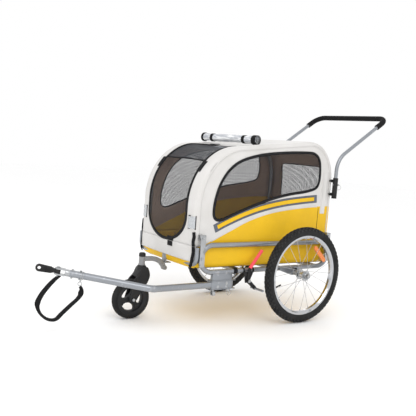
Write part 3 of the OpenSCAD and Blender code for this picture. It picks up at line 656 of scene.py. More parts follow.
NIPPLE = block([(0, 1.9 * math.cos(a), 1.9 * math.sin(a)) for a in [k * math.pi / 3 for k in range(6)]]
               + [(-9, 1.3 * math.cos(a), 1.3 * math.sin(a)) for a in [k * math.pi / 3 for k in range(6)]],
               [(k, (k + 1) % 6, (k + 1) % 6 + 6, k + 6) for k in range(6)] + [(0, 1, 2, 3, 4, 5)[::-1],
                                                                              (6, 7, 8, 9, 10, 11)])
WHEELS = (("left", 1, Vector((0.362, AXLE_Y, AXLE_Z))), ("right", -1, Vector((-0.362, AXLE_Y, AXLE_Z))))
rim_low, rim_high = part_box("wheel_left")
RIM_R = (rim_high.z - rim_low.z) * 500
for word, sign, centre in WHEELS:
    body = "wheel_" + word + "_body"
    nipples = onto_axle(ring_of(NIPPLE, 20, RIM_R - 17, 0.0, CHROME), centre)
    joined("spoke_nipples_" + word, [nipples], body)
    out = Vector((sign, 0, 0))
    turned_shape("hub_cap_" + word, [(31.0, 16.5), (32.5, 16.5), (34, 15), (34.3, 12), (36.5, 11.5), (37,
                                     9.5),
                                     (35.0, 9.0), (35.0, 0.0)], centre, out, [ZINC], body, 40)
    turned_shape("hub_groove_rings_" + word, [(-18, 16.2), (-17, 18.2), (-15.5, 18.2), (-14.5, 16.2),
                                              (14.5, 16.2),
                                              (15.5, 18.2), (17, 18.2), (18, 16.2)], centre, out, [ALLOY],
                 body,
                 40)
bpy.data.objects.remove(NIPPLE)


def reflector_finish():
    lens = Finish("orange_reflector", Coat_Weight=0.8, Coat_Roughness=0.04)
    cell = lens.node("TexVoronoi", {"feature": "DISTANCE_TO_EDGE"}, {"Vector": lens.place(), "Scale": 330.0})
    edge = lens.step(cell, 0.02, 0.12)
    lens.set("Base Color", lens.blend(edge, shade(0.62, 0.12, 0.01), shade(0.95, 0.26, 0.02)))
    lens.set("Roughness", 0.25 - 0.08 * edge)
    lens.relief(edge, 0.0005, 0.8)
    return lens.material


ORANGE = reflector_finish()


def spoke_reflector(word, sign, centre):
    """A rounded bar clipped between two spokes."""
    points, faces = [], []
    length, half = 60, 12.5
    outline = []
    for k in range(40):
        a = 2 * math.pi * k / 40
        outline.append((half * math.copysign(abs(math.cos(a)) ** 0.7, math.cos(a)),
                        length * math.copysign(abs(math.sin(a)) ** 0.35, math.sin(a))))
    layers = [(-4, 0.86), (-3, 0.97), (0, 1.0), (3, 0.97), (4.2, 0.88), (4.6, 0.6), (4.7, 0.2)]
    turn = math.radians(45)
    for lift, size in layers:
        for across, along in outline:
            radial = 152 + across * size
            y = radial * math.cos(turn) + along * size * math.sin(turn)
            z = radial * math.sin(turn) - along * size * math.cos(turn)
            points.append(centre + Vector((sign * lift / 1000, y / 1000, z / 1000)))
    for i in range(len(layers) - 1):
        for k in range(40):
            n = (k + 1) % 40
            faces.append((i * 40 + k, i * 40 + n, (i + 1) * 40 + n, (i + 1) * 40 + k))
    faces.append(tuple(range(40))[::-1])
    faces.append(tuple((len(layers) - 1) * 40 + k for k in range(40)))
    bar = make_piece("spoke_reflector_" + word, points, faces, [ORANGE], None)
    crease(bar, 45)
    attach(bar, "wheel_" + word + "_body")


for word, sign, centre in WHEELS:
    spoke_reflector(word, sign, centre)
    way = Vector((0, -math.cos(math.radians(17)), -math.sin(math.radians(17))))
    turned_shape("valve_" + word, [(-2, 4.0), (0, 4.0), (3, 3.6), (20, 3.3), (24, 2.9), (25, 4.2), (36, 4.2),
                                   (38, 3.4), (38.5, 0.0)],
                 centre + way * ((RIM_R - 17) / 1000), -way, [BLACK], "wheel_" + word + "_body",
                 20)

# ---- Tyres ----
# 20 by 1.95 inch black rubber tyres with blocks of tread: two staggered rows on the crown
# and a row of side knobs on each shoulder.


def rubber_finish(name="tyre_rubber", dark=0.006, light=0.016):
    rubber = Finish(name, Specular_IOR_Level=0.3)
    dust = rubber.grain(16.0, 4.0)
    fine = rubber.grain(500.0, 3.0)
    tint = rubber.step(dust * 0.8 + fine * 0.2, 0.35, 0.68)
    rubber.set("Base Color", rubber.blend(tint, shade(dark, dark, dark * 1.05), shade(light, light, light)))
    rubber.set("Roughness", 0.62 + 0.16 * fine)
    rubber.relief(fine, 0.0003, 0.6)
    return rubber.material


RUBBER = rubber_finish()
# The tread blocks get a paler rubber than the carcass: partly dust on the blocks, partly painted light on the
# block tops, with the darker carcass between them as painted shade in the grooves.
TREAD_DUST_AND_PAINTED_LIGHT = rubber_finish("tread_rubber_dust_and_painted_light", 0.012, 0.034)
tyre_low, tyre_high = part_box("tyre_left")
TYRE_R = (tyre_high.z - tyre_low.z) * 500
TYRE_W = (tyre_high.x - tyre_low.x) * 1000


def knob(length, width, height, taper=0.78):
    """A tread block: X is outwards, Y runs round the tyre and Z lies across it."""
    a, b = length / 2, width / 2
    points = [(0, -a, -b), (0, a, -b), (0, a, b), (0, -a, b)]
    mid = height * 0.55
    points += [(mid, y * 0.93, z * 0.93) for _, y, z in points[:4]]
    points += [(height, y * taper, z * taper) for _, y, z in points[:4]]
    faces = []
    for k in range(4):
        n = (k + 1) % 4
        faces += [(k, n, 4 + n, 4 + k), (4 + k, 4 + n, 8 + n, 8 + k)]
    faces += [(0, 3, 2, 1), (8, 9, 10, 11)]
    return block(points, faces)


def tilted(piece, angle, move):
    piece.data.transform(Matrix.Translation(Vector((move[0], 0, move[1])) / 1000)
                         @ Matrix.Rotation(angle, 4, "Y"))
    return piece


def tyre(word, centre):
    carcass_r = TYRE_W / 2 - 4.0
    middle = TYRE_R - TYRE_W / 2
    profile = []
    for k in range(25):
        angle = math.radians(-128 + 256 * k / 24)
        profile.append((carcass_r * math.sin(angle), middle + carcass_r * math.cos(angle)))
    bead_r = RIM_R - 1.5
    profile = [(-13.2, bead_r), (-14.2, bead_r + 4)] + profile[1:-1] + [(14.2, bead_r + 4), (13.2, bead_r)]
    profile = profile + [(0, bead_r + 2), profile[0]]
    body = "wheel_" + word + "_body"
    carcass = turned_shape("tyre_carcass_" + word, profile, centre, Vector((1, 0, 0)), [RUBBER], body,
                           180)
    rows = []
    for angle, count, start, size in ((10, 60, 0.0, (15, 8, 4.2)), (-10, 60, 0.5, (15, 8, 4.2)),
                                      (34, 60, 0.5, (13, 9, 4.6)), (-34, 60, 0.0, (13, 9, 4.6)),
                                      (60, 60, 0.0, (10, 10, 4.4)), (-60, 60, 0.5, (10, 10, 4.4))):
        tilt = math.radians(angle)
        reach = carcass_r - 0.6
        shape = tilted(knob(*size), -tilt, (reach * math.cos(tilt) - 0.0, reach * math.sin(tilt)))
        row = ring_of(shape, count, middle, start * 2 * math.pi / count, TREAD_DUST_AND_PAINTED_LIGHT)
        bpy.data.objects.remove(shape)
        rows.append(onto_axle(row, centre))
    knobs = joined("tyre_tread_" + word, rows, body)
    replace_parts(carcass, "tyre_" + word)
    return knobs


for word, sign, centre in WHEELS:
    tyre(word, centre)

# ---- Folding cover ----
# One sewn cover of coated polyester hangs over the two hoops: white above, yellow low on the
# sides, brown inside. It is cut open for the door, the side windows and the rear window.

BACK_YELLOW = cloth_finish("yellow_lining_cloth", shade(0.70, 0.44, 0.01), shade(0.80, 0.52, 0.012), 800, 0.8)
SIDE = 256.0
FRONT = (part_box("front_cover")[0].y - AXLE_Y) * 1000
REAR = (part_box("rear_cover")[1].y - AXLE_Y) * 1000
SILL_MM = SILL * 1000


def bow(a, b, c, d, count):
    return [a * (1 - t) ** 3 + b * 3 * (1 - t) ** 2 * t + c * 3 * (1 - t) * t * t + d * t ** 3
            for t in [k / count for k in range(count + 1)]]


def cover_profile():
    """The cover's edge seen from the side: up the front, back over the roof and down the rear."""
    line = [Vector((FRONT, SILL_MM))]
    line += bow(Vector((FRONT, 600)), Vector((FRONT + 4, 740)), Vector((-540, 868)), Vector((-400, 894)), 60)
    line += bow(Vector((65, 945)), Vector((170, 957)), Vector((REAR - 8, 885)), Vector((REAR, 740)), 60)
    line.append(Vector((REAR, SILL_MM)))
    return line


PROFILE = even(cover_profile(), 400)
PROFILE_LENGTH = sum((b - a).length for a, b in zip(PROFILE, PROFILE[1:]))


def profile_at(s):
    """Place, inward direction and the shares of front, roof and rear at a distance along the profile."""
    if s < 0:
        return PROFILE[0] + Vector((0, s)), Vector((1, 0)), (1.0, 0.0, 0.0)
    k = min(max(s / PROFILE_LENGTH * (len(PROFILE) - 1), 0), len(PROFILE) - 1.001)
    i = int(k)
    place = PROFILE[i].lerp(PROFILE[i + 1], k - i)
    ahead = PROFILE[min(i + 6, len(PROFILE) - 1)]
    behind = PROFILE[max(i - 5, 0)]
    along = (ahead - behind).normalized()
    inward = Vector((along.y, -along.x))
    shares = (max(along.y, 0) ** 2, along.x ** 2, max(-along.y, 0) ** 2)
    return place, inward, shares


def profile_where(test):
    """The first distance along the profile where a place passes the test."""
    for i, place in enumerate(PROFILE):
        if test(place, i / len(PROFILE)):
            return PROFILE_LENGTH * i / (len(PROFILE) - 1)
    return PROFILE_LENGTH


def edge_round(shares):
    return 20 * shares[0] + 16 * shares[1] + 20 * shares[2]


def edge_inset(s):
    return edge_round(profile_at(s)[2]) + 8 * profile_at(s)[2][0]


BAND = SIDE - 20 + 20 * math.pi / 2


def on_band(p, lift=0.0):
    """A point of the band that runs over front, roof and rear: p is (across, along) in millimetres."""
    place, inward, shares = profile_at(p[1])
    radius = edge_round(shares)
    flat = SIDE - radius
    q = abs(p[0]) / BAND * (flat + radius * math.pi / 2)
    sign = 1 if p[0] >= 0 else -1
    if q <= flat:
        x, drop, tilt = q, 0.0, 0.0
    else:
        tilt = (q - flat) / radius
        x = flat + radius * math.sin(tilt)
        drop = radius * (1 - math.cos(tilt))
    drop += 8 * shares[0] * (x / SIDE) ** 2
    before_hoop = min(max((-40 - place.x) / 160, 0.0), 1.0)
    drop += 18 * before_hoop * shares[1] ** 3 * max(0.0, 1 - (x / 225) ** 2) ** 1.5
    x += lift * math.sin(tilt)
    drop -= lift * math.cos(tilt)
    y = place.x + inward.x * drop
    z = place.y + inward.y * drop
    crumple = noise.noise(Vector((x * 0.006 * sign, y * 0.006, z * 0.006))) * 2.2 * math.cos(tilt)
    return at(sign * x, y + inward.x * crumple * 0.6, z + inward.y * crumple)


def on_side(p, lift=0.0, sign=1):
    """A point of a side panel: p is (front to back, height) in millimetres."""
    crumple = noise.noise(Vector((p[0] * 0.008, p[1] * 0.011, 3.1 * sign))) * 1.6
    room = min((p[0] - FRONT - 30) / 60, (REAR - 25 - p[0]) / 60, (900 - p[1]) / 80, 1)
    return at(sign * (SIDE + (crumple + 1.0) * max(room, 0) + lift), p[0], p[1])


def within(points, loop):
    """Which of the points lie inside a closed loop."""
    points = np.asarray(points, float)
    loop = np.asarray([tuple(p)[:2] for p in loop], float)
    hit = np.zeros(len(points), bool)
    x, y = points[:, 0], points[:, 1]
    for (x0, y0), (x1, y1) in zip(loop, np.roll(loop, -1, 0)):
        if y0 == y1:
            continue
        crosses = (y0 > y) != (y1 > y)
        hit ^= crosses & (x < (x1 - x0) * (y - y0) / (y1 - y0) + x0)
    return hit


def cut_cloth(outline, holes, lines, step):
    """A flat pattern piece, as even triangles that follow its outline, its holes and its seams."""
    corners, edges = [], []
    for loop, closed in [(outline, True)] + [(h, True) for h in holes] + [(s, False) for s in lines]:
        start = len(corners)
        corners += [tuple(p)[:2] for p in loop]
        edges += [(start + i, start + i + 1) for i in range(len(loop) - 1)]
        if closed:
            edges.append((len(corners) - 1, start))
    rim = np.array(corners)
    low, high = rim.min(0), rim.max(0)
    grid = []
    rows = int((high[1] - low[1]) / (step * 0.87)) + 2
    for j in range(rows):
        for i in range(int((high[0] - low[0]) / step) + 2):
            grid.append((low[0] + (i + 0.5 * (j % 2)) * step, low[1] + j * step * 0.87))
    grid = np.array(grid)
    keep = within(grid, outline)
    for hole in holes:
        keep &= ~within(grid, hole)
    grid = grid[keep]
    far = np.array([np.min(np.abs(rim - g).sum(1)) > step * 0.75 for g in grid])
    grid = grid[far]
    points = [Vector(p) for p in corners] + [Vector(p) for p in grid]
    flat, _, triangles = delaunay_2d_cdt(points, edges, [], 0, 1e-4)[:3]
    middle = np.array([[(flat[a].x + flat[b].x + flat[c].x) / 3, (flat[a].y + flat[b].y + flat[c].y) / 3]
                       for a, b, c in triangles])
    keep = within(middle, outline)
    for hole in holes:
        keep &= ~within(middle, hole)
    return flat, [t for t, k in zip(triangles, keep) if k], middle[keep]


def dense(loop, gap, closed=True):
    length = sum((b - a).length for a, b in zip(loop, loop[1:] + ([loop[0]] if closed else [])))
    return even(loop, max(int(length / gap), 4), closed)


def vec(pairs):
    return [Vector(p) for p in pairs]


def rounded(loop, count=160):
    """A smooth closed line through the points."""
    n = len(loop)
    line = []
    for i in range(n):
        a, b, c, d = loop[i - 1], loop[i], loop[(i + 1) % n], loop[(i + 2) % n]
        for step in range(8):
            t = step / 8
            line.append(0.5 * ((2 * b) + (c - a) * t + (2 * a - 5 * b + 4 * c - d) * t * t
                               + (3 * b - a - 3 * c + d) * t ** 3))
    return even(line, count, True)


WINDOW = rounded(vec([(-519, 540), (-527, 590), (-516, 655), (-488, 725), (-440, 785), (-375, 826), (-270,
                      856),
                      (-130, 876), (60, 888), (118, 880), (148, 850), (160, 790), (158, 735), (136, 700),
                      (60, 680),
                      (-60, 662), (-180, 634), (-300, 596), (-400, 560), (-480, 530)]), count=170)
COLOUR_SEAM = curve_through([p.to_3d() for p in vec([
    (-640, 372), (-600, 392), (-542, 420), (-432, 470), (-312, 524), (-185, 562), (-80, 580), (20, 592),
    (110, 600), (166, 602), (290, 604)])], 90)
COLOUR_SEAM = [p.to_2d() for p in COLOUR_SEAM]


def seam_height(y):
    for a, b in zip(COLOUR_SEAM, COLOUR_SEAM[1:]):
        if a.x <= y <= b.x:
            return a.y + (b.y - a.y) * (y - a.x) / (b.x - a.x)
    return COLOUR_SEAM[-1].y


DOOR_HALF = 178
door_top = profile_where(lambda p, k: p.x > -300)
door_bend = profile_where(lambda p, k: p.x > -420)
header = profile_where(lambda p, k: p.y > 812)
rear_seam = profile_where(lambda p, k: k > 0.6 and p.y < 604)


def door_loop(grow=0.0):
    half = DOOR_HALF + grow
    loop = [Vector((half * math.cos(a), 135 + (128 + grow) * math.sin(a)))
            for a in [math.pi + math.pi * k / 24 for k in range(25)]]
    rise = door_top - door_bend + grow
    loop += [Vector((half * math.cos(a), door_bend + rise * math.sin(a)))
             for a in [math.pi * k / 24 for k in range(25)]]
    return dense(loop, 11)


def rear_loop(grow=0.0):
    low = profile_where(lambda p, k: k > 0.6 and p.y < 820)
    high = profile_where(lambda p, k: k > 0.6 and p.y < 600) - 12
    half, corner = 170 + grow, 34 + grow
    loop = []
    for cx, cy, start in ((half - corner, high + grow - corner, 0), (-half + corner, high + grow - corner,
                          90),
                          (-half + corner, low - grow + corner, 180), (half - corner, low - grow + corner,
                          270)):
        for k in range(7):
            angle = math.radians(start + 15 * k)
            loop.append(Vector((cx + corner * math.cos(angle), cy + corner * math.sin(angle))))
    return dense(loop, 11)


STEP = 13.0
RIM = [PROFILE_LENGTH * k / 150 for k in range(151)]


def sewn_cover():
    """The band and both side panels share the points along their seams, so they are one sheet."""
    points, faces, marks = [], [], []

    def add(flat, triangles, middle, place, mark):
        start = len(points)
        points.extend(place(p) for p in flat)
        for triangle, centre in zip(triangles, middle):
            faces.append([start + k for k in triangle])
            marks.append(mark(centre))

    outline = [Vector((BAND, s)) for s in RIM] + dense(vec([(BAND, PROFILE_LENGTH), (-BAND, PROFILE_LENGTH)]),
                                                       STEP, False)[1:-1]
    outline += [Vector((-BAND, s)) for s in reversed(RIM)] + dense(
        vec([(-BAND, 0), (BAND, 0)]), STEP, False)[1:-1]
    hem = dense(vec([(-BAND + 1, rear_seam), (BAND - 1, rear_seam)]), STEP, False)
    add(*cut_cloth(outline, [door_loop(), rear_loop()], [hem], STEP), on_band,
        lambda c: 1 if c[1] > rear_seam else 0)
    for sign in (1, -1):
        rim = []
        for s in RIM:
            place, inward = profile_at(s)[:2]
            rim.append(place + inward * edge_inset(s))
        rim += dense([rim[-1], rim[0]], STEP, False)[1:-1]
        seam = [p for p in COLOUR_SEAM if FRONT + 32 < p.x < REAR - 24 and p.y > SILL_MM + 2]
        add(*cut_cloth(rim, [WINDOW], [seam], STEP), lambda p: on_side(p, 0, sign),
            lambda c: 1 if c[1] < seam_height(c[0]) else 0)
    cover = make_piece("cabin_cover", points, faces, [WHITE, YELLOW, BROWN_LINING_PAINTED_LIGHT, BACK_YELLOW], None,
                       marks)
    work = bmesh.new()
    work.from_mesh(cover.data)
    bmesh.ops.remove_doubles(work, verts=work.verts, dist=0.0012)
    bmesh.ops.recalc_face_normals(work, faces=work.faces)
    middle = at(0, -190, 650)
    outward = sum((f.calc_center_median() - middle).normalized().dot(f.normal) for f in work.faces)
    if outward < 0:
        bmesh.ops.reverse_faces(work, faces=work.faces)
    work.to_mesh(cover.data)
    work.free()
    wall = cover.modifiers.new("cloth", "SOLIDIFY")
    wall.thickness = 0.0014
    wall.offset = -1
    wall.material_offset = 2
    bake_down(cover)
    return cover


cover = sewn_cover()
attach(cover, "chassis")
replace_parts(cover, "front_cover", "roof_cover", "rear_cover", "side_cover_left", "side_cover_right")


def folds_down(piece):
    """Gives the piece its own copy of its mesh."""
    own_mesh(piece)
    return piece


folds_down(cover)

# ---- Bindings, reflective stripe and trim ----
# Black woven tape binds every cut edge of the cover. A yellow stripe between two grey
# reflective bands is sewn under each side window, and white flaps cover the rear hoop.


def tape_finish(name, dark, light, ribs=420):
    tape = Finish(name, Roughness=0.75, Specular_IOR_Level=0.2)
    rib = tape.axis(0).wave(ribs) * tape.axis(2).wave(ribs) + tape.axis(1).wave(ribs)
    tape.set("Base Color", tape.blend(tape.grain(150.0), dark, light))
    tape.relief(rib, 0.0004, 0.6)
    return tape.material


BLACK_TAPE = tape_finish("black_woven_tape", shade(0.004, 0.004, 0.005), shade(0.010, 0.010, 0.011))


def reflective_finish():
    band = Finish("reflective_grey_band", Metallic=0.35)
    cell = band.node("TexVoronoi", {"feature": "DISTANCE_TO_EDGE"}, {"Vector": band.place(), "Scale": 420.0})
    lattice = band.step(cell, 0.02, 0.10)
    band.set("Base Color", band.blend(lattice, shade(0.06, 0.07, 0.09), shade(0.13, 0.15, 0.19)))
    band.set("Roughness", 0.42 - 0.12 * lattice)
    band.relief(lattice, 0.0002, 0.5)
    return band.material


GREY_BAND = reflective_finish()


def tape(name, surface, path, columns, materials, body, slot, closed=False, picks=None, ends=0, end_pick=0):
    """A sewn tape: columns are (across, lift) in millimetres from one edge to the other."""
    count = len(path)
    width = len(columns)
    points, faces, marks = [], [], []
    for i, p in enumerate(path):
        ahead = path[(i + 1) % count] if closed else path[min(i + 1, count - 1)]
        behind = path[i - 1] if closed else path[max(i - 1, 0)]
        along = (ahead - behind).normalized()
        side = Vector((along.y, -along.x))
        points += [surface(p + side * w, lift) for w, lift in columns]
        points += [surface(p + side * w, -0.4) for w, lift in columns]
    for i in range(count if closed else count - 1):
        j = (i + 1) % count
        a, b = i * 2 * width, j * 2 * width
        at_end = not closed and (i < ends or i >= count - 1 - ends)
        for k in range(width - 1):
            faces.append((a + k, a + k + 1, b + k + 1, b + k))
            marks.append(end_pick if at_end and picks and 0 < k < width - 2 else (picks[k] if picks else 0))
            faces.append((a + width + k + 1, a + width + k, b + width + k, b + width + k + 1))
            marks.append(0)
        faces.append((a, b, b + width, a + width))
        faces.append((a + width - 1, a + 2 * width - 1, b + 2 * width - 1, b + width - 1))
        marks += [0, 0]
    if not closed:
        for base, turn in ((0, 1), ((count - 1) * 2 * width, -1)):
            for k in range(width - 1):
                quad = (base + k, base + width + k, base + width + k + 1, base + k + 1)
                faces.append(quad[::turn])
                marks.append(0)
    piece = make_piece(name, points, faces, materials, None, marks)
    crease(piece, 50)
    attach(piece, body)
    return piece


def flat_tape(width, thick=1.6):
    half = width / 2
    return [(-half, 0.3), (-half + 0.9, thick), (-half * 0.3, thick + 0.3), (half * 0.3, thick + 0.3),
            (half - 0.9, thick), (half, 0.3)]


def stitched(name, line, closed, thread, body, spacing=0.0075, squashed=True):
    """A row of short stitches along a line, made by Geometry Nodes."""
    mesh = bpy.data.meshes.new(name)
    count = len(line)
    mesh.from_pydata([tuple(p) for p in line],
                     [(i, (i + 1) % count) for i in range(count if closed else count - 1)], [])
    row = bpy.data.objects.new(name, mesh)
    bpy.context.scene.collection.objects.link(row)
    modifier = row.modifiers.new("stitches", "NODES")
    modifier.node_group = STITCH_TREE
    for item in STITCH_TREE.interface.items_tree:
        if item.in_out == "INPUT" and item.name in ("Spacing", "Thread"):
            modifier[item.identifier] = {"Spacing": spacing, "Thread": thread}[item.name]
    bake_down(row)
    for polygon in row.data.polygons:
        polygon.use_smooth = True
    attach(row, body)
    if squashed:
        folds_down(row)
    return row


def stitch_tree():
    tree = bpy.data.node_groups.new("stitch_row", "GeometryNodeTree")
    face = tree.interface
    face.new_socket("Geometry", in_out="INPUT", socket_type="NodeSocketGeometry")
    spacing = face.new_socket("Spacing", in_out="INPUT", socket_type="NodeSocketFloat")
    spacing.default_value = 0.006
    face.new_socket("Thread", in_out="INPUT", socket_type="NodeSocketMaterial")
    face.new_socket("Geometry", in_out="OUTPUT", socket_type="NodeSocketGeometry")
    nodes, links = tree.nodes, tree.links
    source, sink = nodes.new("NodeGroupInput"), nodes.new("NodeGroupOutput")
    curve = nodes.new("GeometryNodeMeshToCurve")
    dots = nodes.new("GeometryNodeCurveToPoints")
    dots.mode = "LENGTH"
    thread = nodes.new("GeometryNodeMeshCylinder")
    thread.inputs["Vertices"].default_value = 5
    thread.inputs["Radius"].default_value = 0.0006
    length = nodes.new("ShaderNodeMath")
    length.operation = "MULTIPLY"
    length.inputs[1].default_value = 0.6
    copies = nodes.new("GeometryNodeInstanceOnPoints")
    real = nodes.new("GeometryNodeRealizeInstances")
    paint = nodes.new("GeometryNodeSetMaterial")
    links.new(source.outputs["Geometry"], curve.inputs[0])
    links.new(curve.outputs[0], dots.inputs["Curve"])
    links.new(source.outputs["Spacing"], dots.inputs["Length"])
    links.new(source.outputs["Spacing"], length.inputs[0])
    links.new(length.outputs[0], thread.inputs["Depth"])
    links.new(dots.outputs["Points"], copies.inputs["Points"])
    links.new(dots.outputs["Rotation"], copies.inputs["Rotation"])
    links.new(thread.outputs["Mesh"], copies.inputs["Instance"])
    links.new(copies.outputs[0], real.inputs[0])
    links.new(real.outputs[0], paint.inputs["Geometry"])
    links.new(source.outputs["Thread"], paint.inputs["Material"])
    links.new(paint.outputs[0], sink.inputs[0])
    return tree


STITCH_TREE = stitch_tree()


def thread_finish(name, colour):
    thread = Finish(name, Roughness=0.6)
    darker = tuple(c * 0.7 for c in colour[:3]) + (1.0,)
    thread.set("Base Color", thread.blend(thread.grain(600.0), colour, darker))
    return thread.material


PALE_THREAD = thread_finish("pale_thread", shade(0.60, 0.59, 0.56))
DARK_THREAD = thread_finish("grey_thread", shade(0.10, 0.10, 0.11))


STRIPE = [p.to_2d() for p in curve_through([p.to_3d() for p in vec([
    (-516, 486), (-440, 520), (-340, 558), (-220, 593), (-90, 618), (40, 634), (152, 644)])], 70)]
STRIPE_COLUMNS = [(-21, 0.4), (-19.6, 1.3), (-11.5, 1.4), (-10, 1.5), (10, 1.5), (11.5, 1.4), (19.6, 1.3),
                  (21, 0.4)]

folds_down(tape("door_binding", on_band, door_loop(2), flat_tape(16, 2.2), [BLACK_TAPE], "chassis",
                "webbing", True))
stitched("door_binding_stitches", [on_band(p, 2.1) for p in door_loop(2)], True, DARK_THREAD, "chassis")
folds_down(tape("rear_window_binding", on_band, rear_loop(2), flat_tape(14, 2.0), [BLACK_TAPE], "chassis",
                "webbing",
                True))
for sign, word in ((1, "left"), (-1, "right")):
    def here(p, lift=0.0, sign=sign):
        return on_side(p, lift, sign)
    folds_down(tape("window_binding_" + word, here, WINDOW, flat_tape(15, 2.0), [BLACK_TAPE], "chassis",
                    "webbing", True))
    stitched("window_stitches_" + word, [here(p, 2.0) for p in WINDOW], True, DARK_THREAD, "chassis")
    folds_down(tape("reflective_stripe_" + word, here, STRIPE, STRIPE_COLUMNS, [BLACK_TAPE, GREY_BAND,
                    YELLOW],
                    "chassis", "yellow_fabric", False, [0, 1, 0, 2, 0, 1, 0], 2, 1))
    seam = [p for p in COLOUR_SEAM if FRONT + 60 < p.x < 168 and p.y > SILL_MM + 22]
    folds_down(tape("colour_seam_" + word, here, seam, [(-4, 0.1), (-3, 0.9), (3, 0.9), (4, 0.1)], [WHITE],
                    "chassis", "white_fabric"))
    stitched("colour_seam_stitches_" + word, [here(p + Vector((0, 2)), 1.2) for p in seam], False,
             PALE_THREAD,
             "chassis")
    rim = []
    for s in RIM[3:-3]:
        place, inward, shares = profile_at(s)
        rim.append(place + inward * (edge_inset(s) + 2))
    folds_down(tape("edge_welt_" + word, here, rim, [(-2.6, 0.1), (-1.5, 2.0), (0, 2.8), (1.5, 2.0), (2.6,
                    0.1)],
                    [WHITE], "chassis", "white_fabric"))
    inner = []
    for s in RIM[3:-3]:
        place, inward, shares = profile_at(s)
        inner.append(place + inward * (edge_inset(s) + 9))
    stitched("edge_stitches_" + word, [here(p, 0.5) for p in inner], False, PALE_THREAD, "chassis")
    flap = dense(vec([(198, 790), (200, 700), (200, 620), (199, 563)]), 12, False)
    folds_down(tape("hoop_flap_" + word, here, flap, [(-17, 0.3), (-16, 2.4), (-12, 2.6), (-11, 1.9), (11,
                    1.9),
                    (12, 2.6), (16, 2.4), (17, 0.3)], [WHITE], "chassis", "white_fabric"))
    back = dense(vec([(169, 596), (170, 520), (170, 425)]), 12, False)
    folds_down(tape("rear_seam_" + word, here, back, [(-1.5, 0.2), (-0.8, 0.9), (0.8, 0.9), (1.5, 0.2)],
                    [BLACK_TAPE],
                    "chassis", "webbing"))

# ---- Mesh door, side windows and rear window ----
# Black polyester mesh lets air in. The door's header, on the roof, is doubled and so denser.


def mesh_finish(name, pitch, open_share, tint, depth=0.0003):
    """Open net: threads cross at a fixed pitch with square holes between them."""
    net = Finish(name, Roughness=0.7)
    x = net.axis(0)
    y = net.axis(1)
    z = net.axis(2)
    side_on = net.node("NewGeometry", {}, {}, "Normal")
    nx = net.node("Math", {"operation": "ABSOLUTE"}, {0: net.node("SeparateXYZ", {}, {0: side_on}, 0)})
    across = net.node("Mix", {"data_type": "FLOAT"}, {0: nx > 0.7, 2: x, 3: y}, 0)
    nz = net.node("Math", {"operation": "ABSOLUTE"}, {0: net.node("SeparateXYZ", {}, {0: side_on}, 2)})
    along = net.node("Mix", {"data_type": "FLOAT"}, {0: nz > 0.7, 2: z, 3: y}, 0)
    hole = (across.wave(pitch) > open_share) * (along.wave(pitch) > open_share)
    net.set("Base Color", net.blend(net.grain(60.0), tint, tuple(c * 1.5 for c in tint[:3]) + (1.0,)))
    net.set("Alpha", 1 - hole)
    net.relief(across.wave(pitch) + along.wave(pitch), depth, 0.4)
    return net.material


NET = mesh_finish("black_mesh", 330, 0.15, shade(0.010, 0.010, 0.012))
DENSE_NET = mesh_finish("doubled_mesh", 330, 0.72, shade(0.018, 0.020, 0.025))


def net_panel(name, surface, outline, holes, material, replaced, step=14.0):
    points, triangles, _ = cut_cloth(outline, holes, [], step)
    used = [surface(p, -1.5) for p in points]
    panel = make_piece(name, used, [list(t) for t in triangles], [material], None)
    work = bmesh.new()
    work.from_mesh(panel.data)
    loose = [v for v in work.verts if not v.link_faces]
    bmesh.ops.delete(work, geom=loose, context="VERTS")
    work.to_mesh(panel.data)
    work.free()
    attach(panel, "chassis")
    if replaced:
        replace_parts(panel, *replaced)
    return folds_down(panel)


low_door = [p for p in door_loop(1) if p.y <= header]
start = max(range(len(low_door)), key=lambda i: (low_door[i] - low_door[i - 1]).length)
low_door = low_door[start:] + low_door[:start]
top_door = [p for p in door_loop(1) if p.y > header]
start = max(range(len(top_door)), key=lambda i: (top_door[i] - top_door[i - 1]).length)
top_door = top_door[start:] + top_door[:start]
left_x, right_x = -DOOR_HALF - 1, DOOR_HALF + 1


def closed_at(loop, height):
    """Closes a cut loop with a straight edge at the height."""
    first, last = loop[0], loop[-1]
    line = dense([last, Vector((last.x, height)), Vector((first.x, height)), first], 13, False)
    return loop + line[1:-1]


net_panel("door_net", on_band, closed_at(low_door, header), [], NET, ["door_mesh"])
net_panel("door_header_net", on_band, closed_at(top_door, header), [], DENSE_NET, None)
header_line = dense(vec([(left_x, header), (0, header + 6), (right_x, header)]), 12, False)
folds_down(tape("door_header_seam", on_band, header_line, flat_tape(9, 1.2), [BLACK_TAPE], "chassis",
                "webbing"))
net_panel("rear_window_net", on_band, rear_loop(1), [], NET, ["rear_window"])
for sign, word in ((1, "left"), (-1, "right")):
    net_panel("side_window_net_" + word, lambda p, lift: on_side(p, lift, sign), WINDOW, [], NET,
              ["side_windows"] if sign == 1 else None)

# ---- Caster ----
# A 200 mm swivel wheel leads the trailer when it is pushed. A grey cast arm clamps to the
# front crossbar; the moulded fork turns in its sleeve under a black cap.

GREY_PAINT = plated_finish("grey_cast_paint", shade(0.20, 0.20, 0.205), shade(0.27, 0.27, 0.275), 0.42)
GREY_PAINT.node_tree.nodes["Principled BSDF"].inputs["Metallic"].default_value = 0.35
BUSH = moulded_finish("ivory_bearing_plastic", shade(0.62, 0.60, 0.54), shade(0.70, 0.68, 0.62))
caster_low, caster_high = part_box("caster_tyre")
CASTER = (caster_low + caster_high) / 2
CASTER_R = (caster_high.z - caster_low.z) * 500
CASTER_W = (caster_high.x - caster_low.x) * 500
ACROSS = Vector((1, 0, 0))


def hex_bolt(name, place, axis, across=13, height=5, body="chassis"):
    turned_shape(name, [(-0.5, across * 0.85), (0.8, across * 0.85), (0.8, across * 0.58), (height - 0.6,
                        across * 0.58),
                        (height, across * 0.5), (height, 0)], place, axis, [ZINC], body, 6)


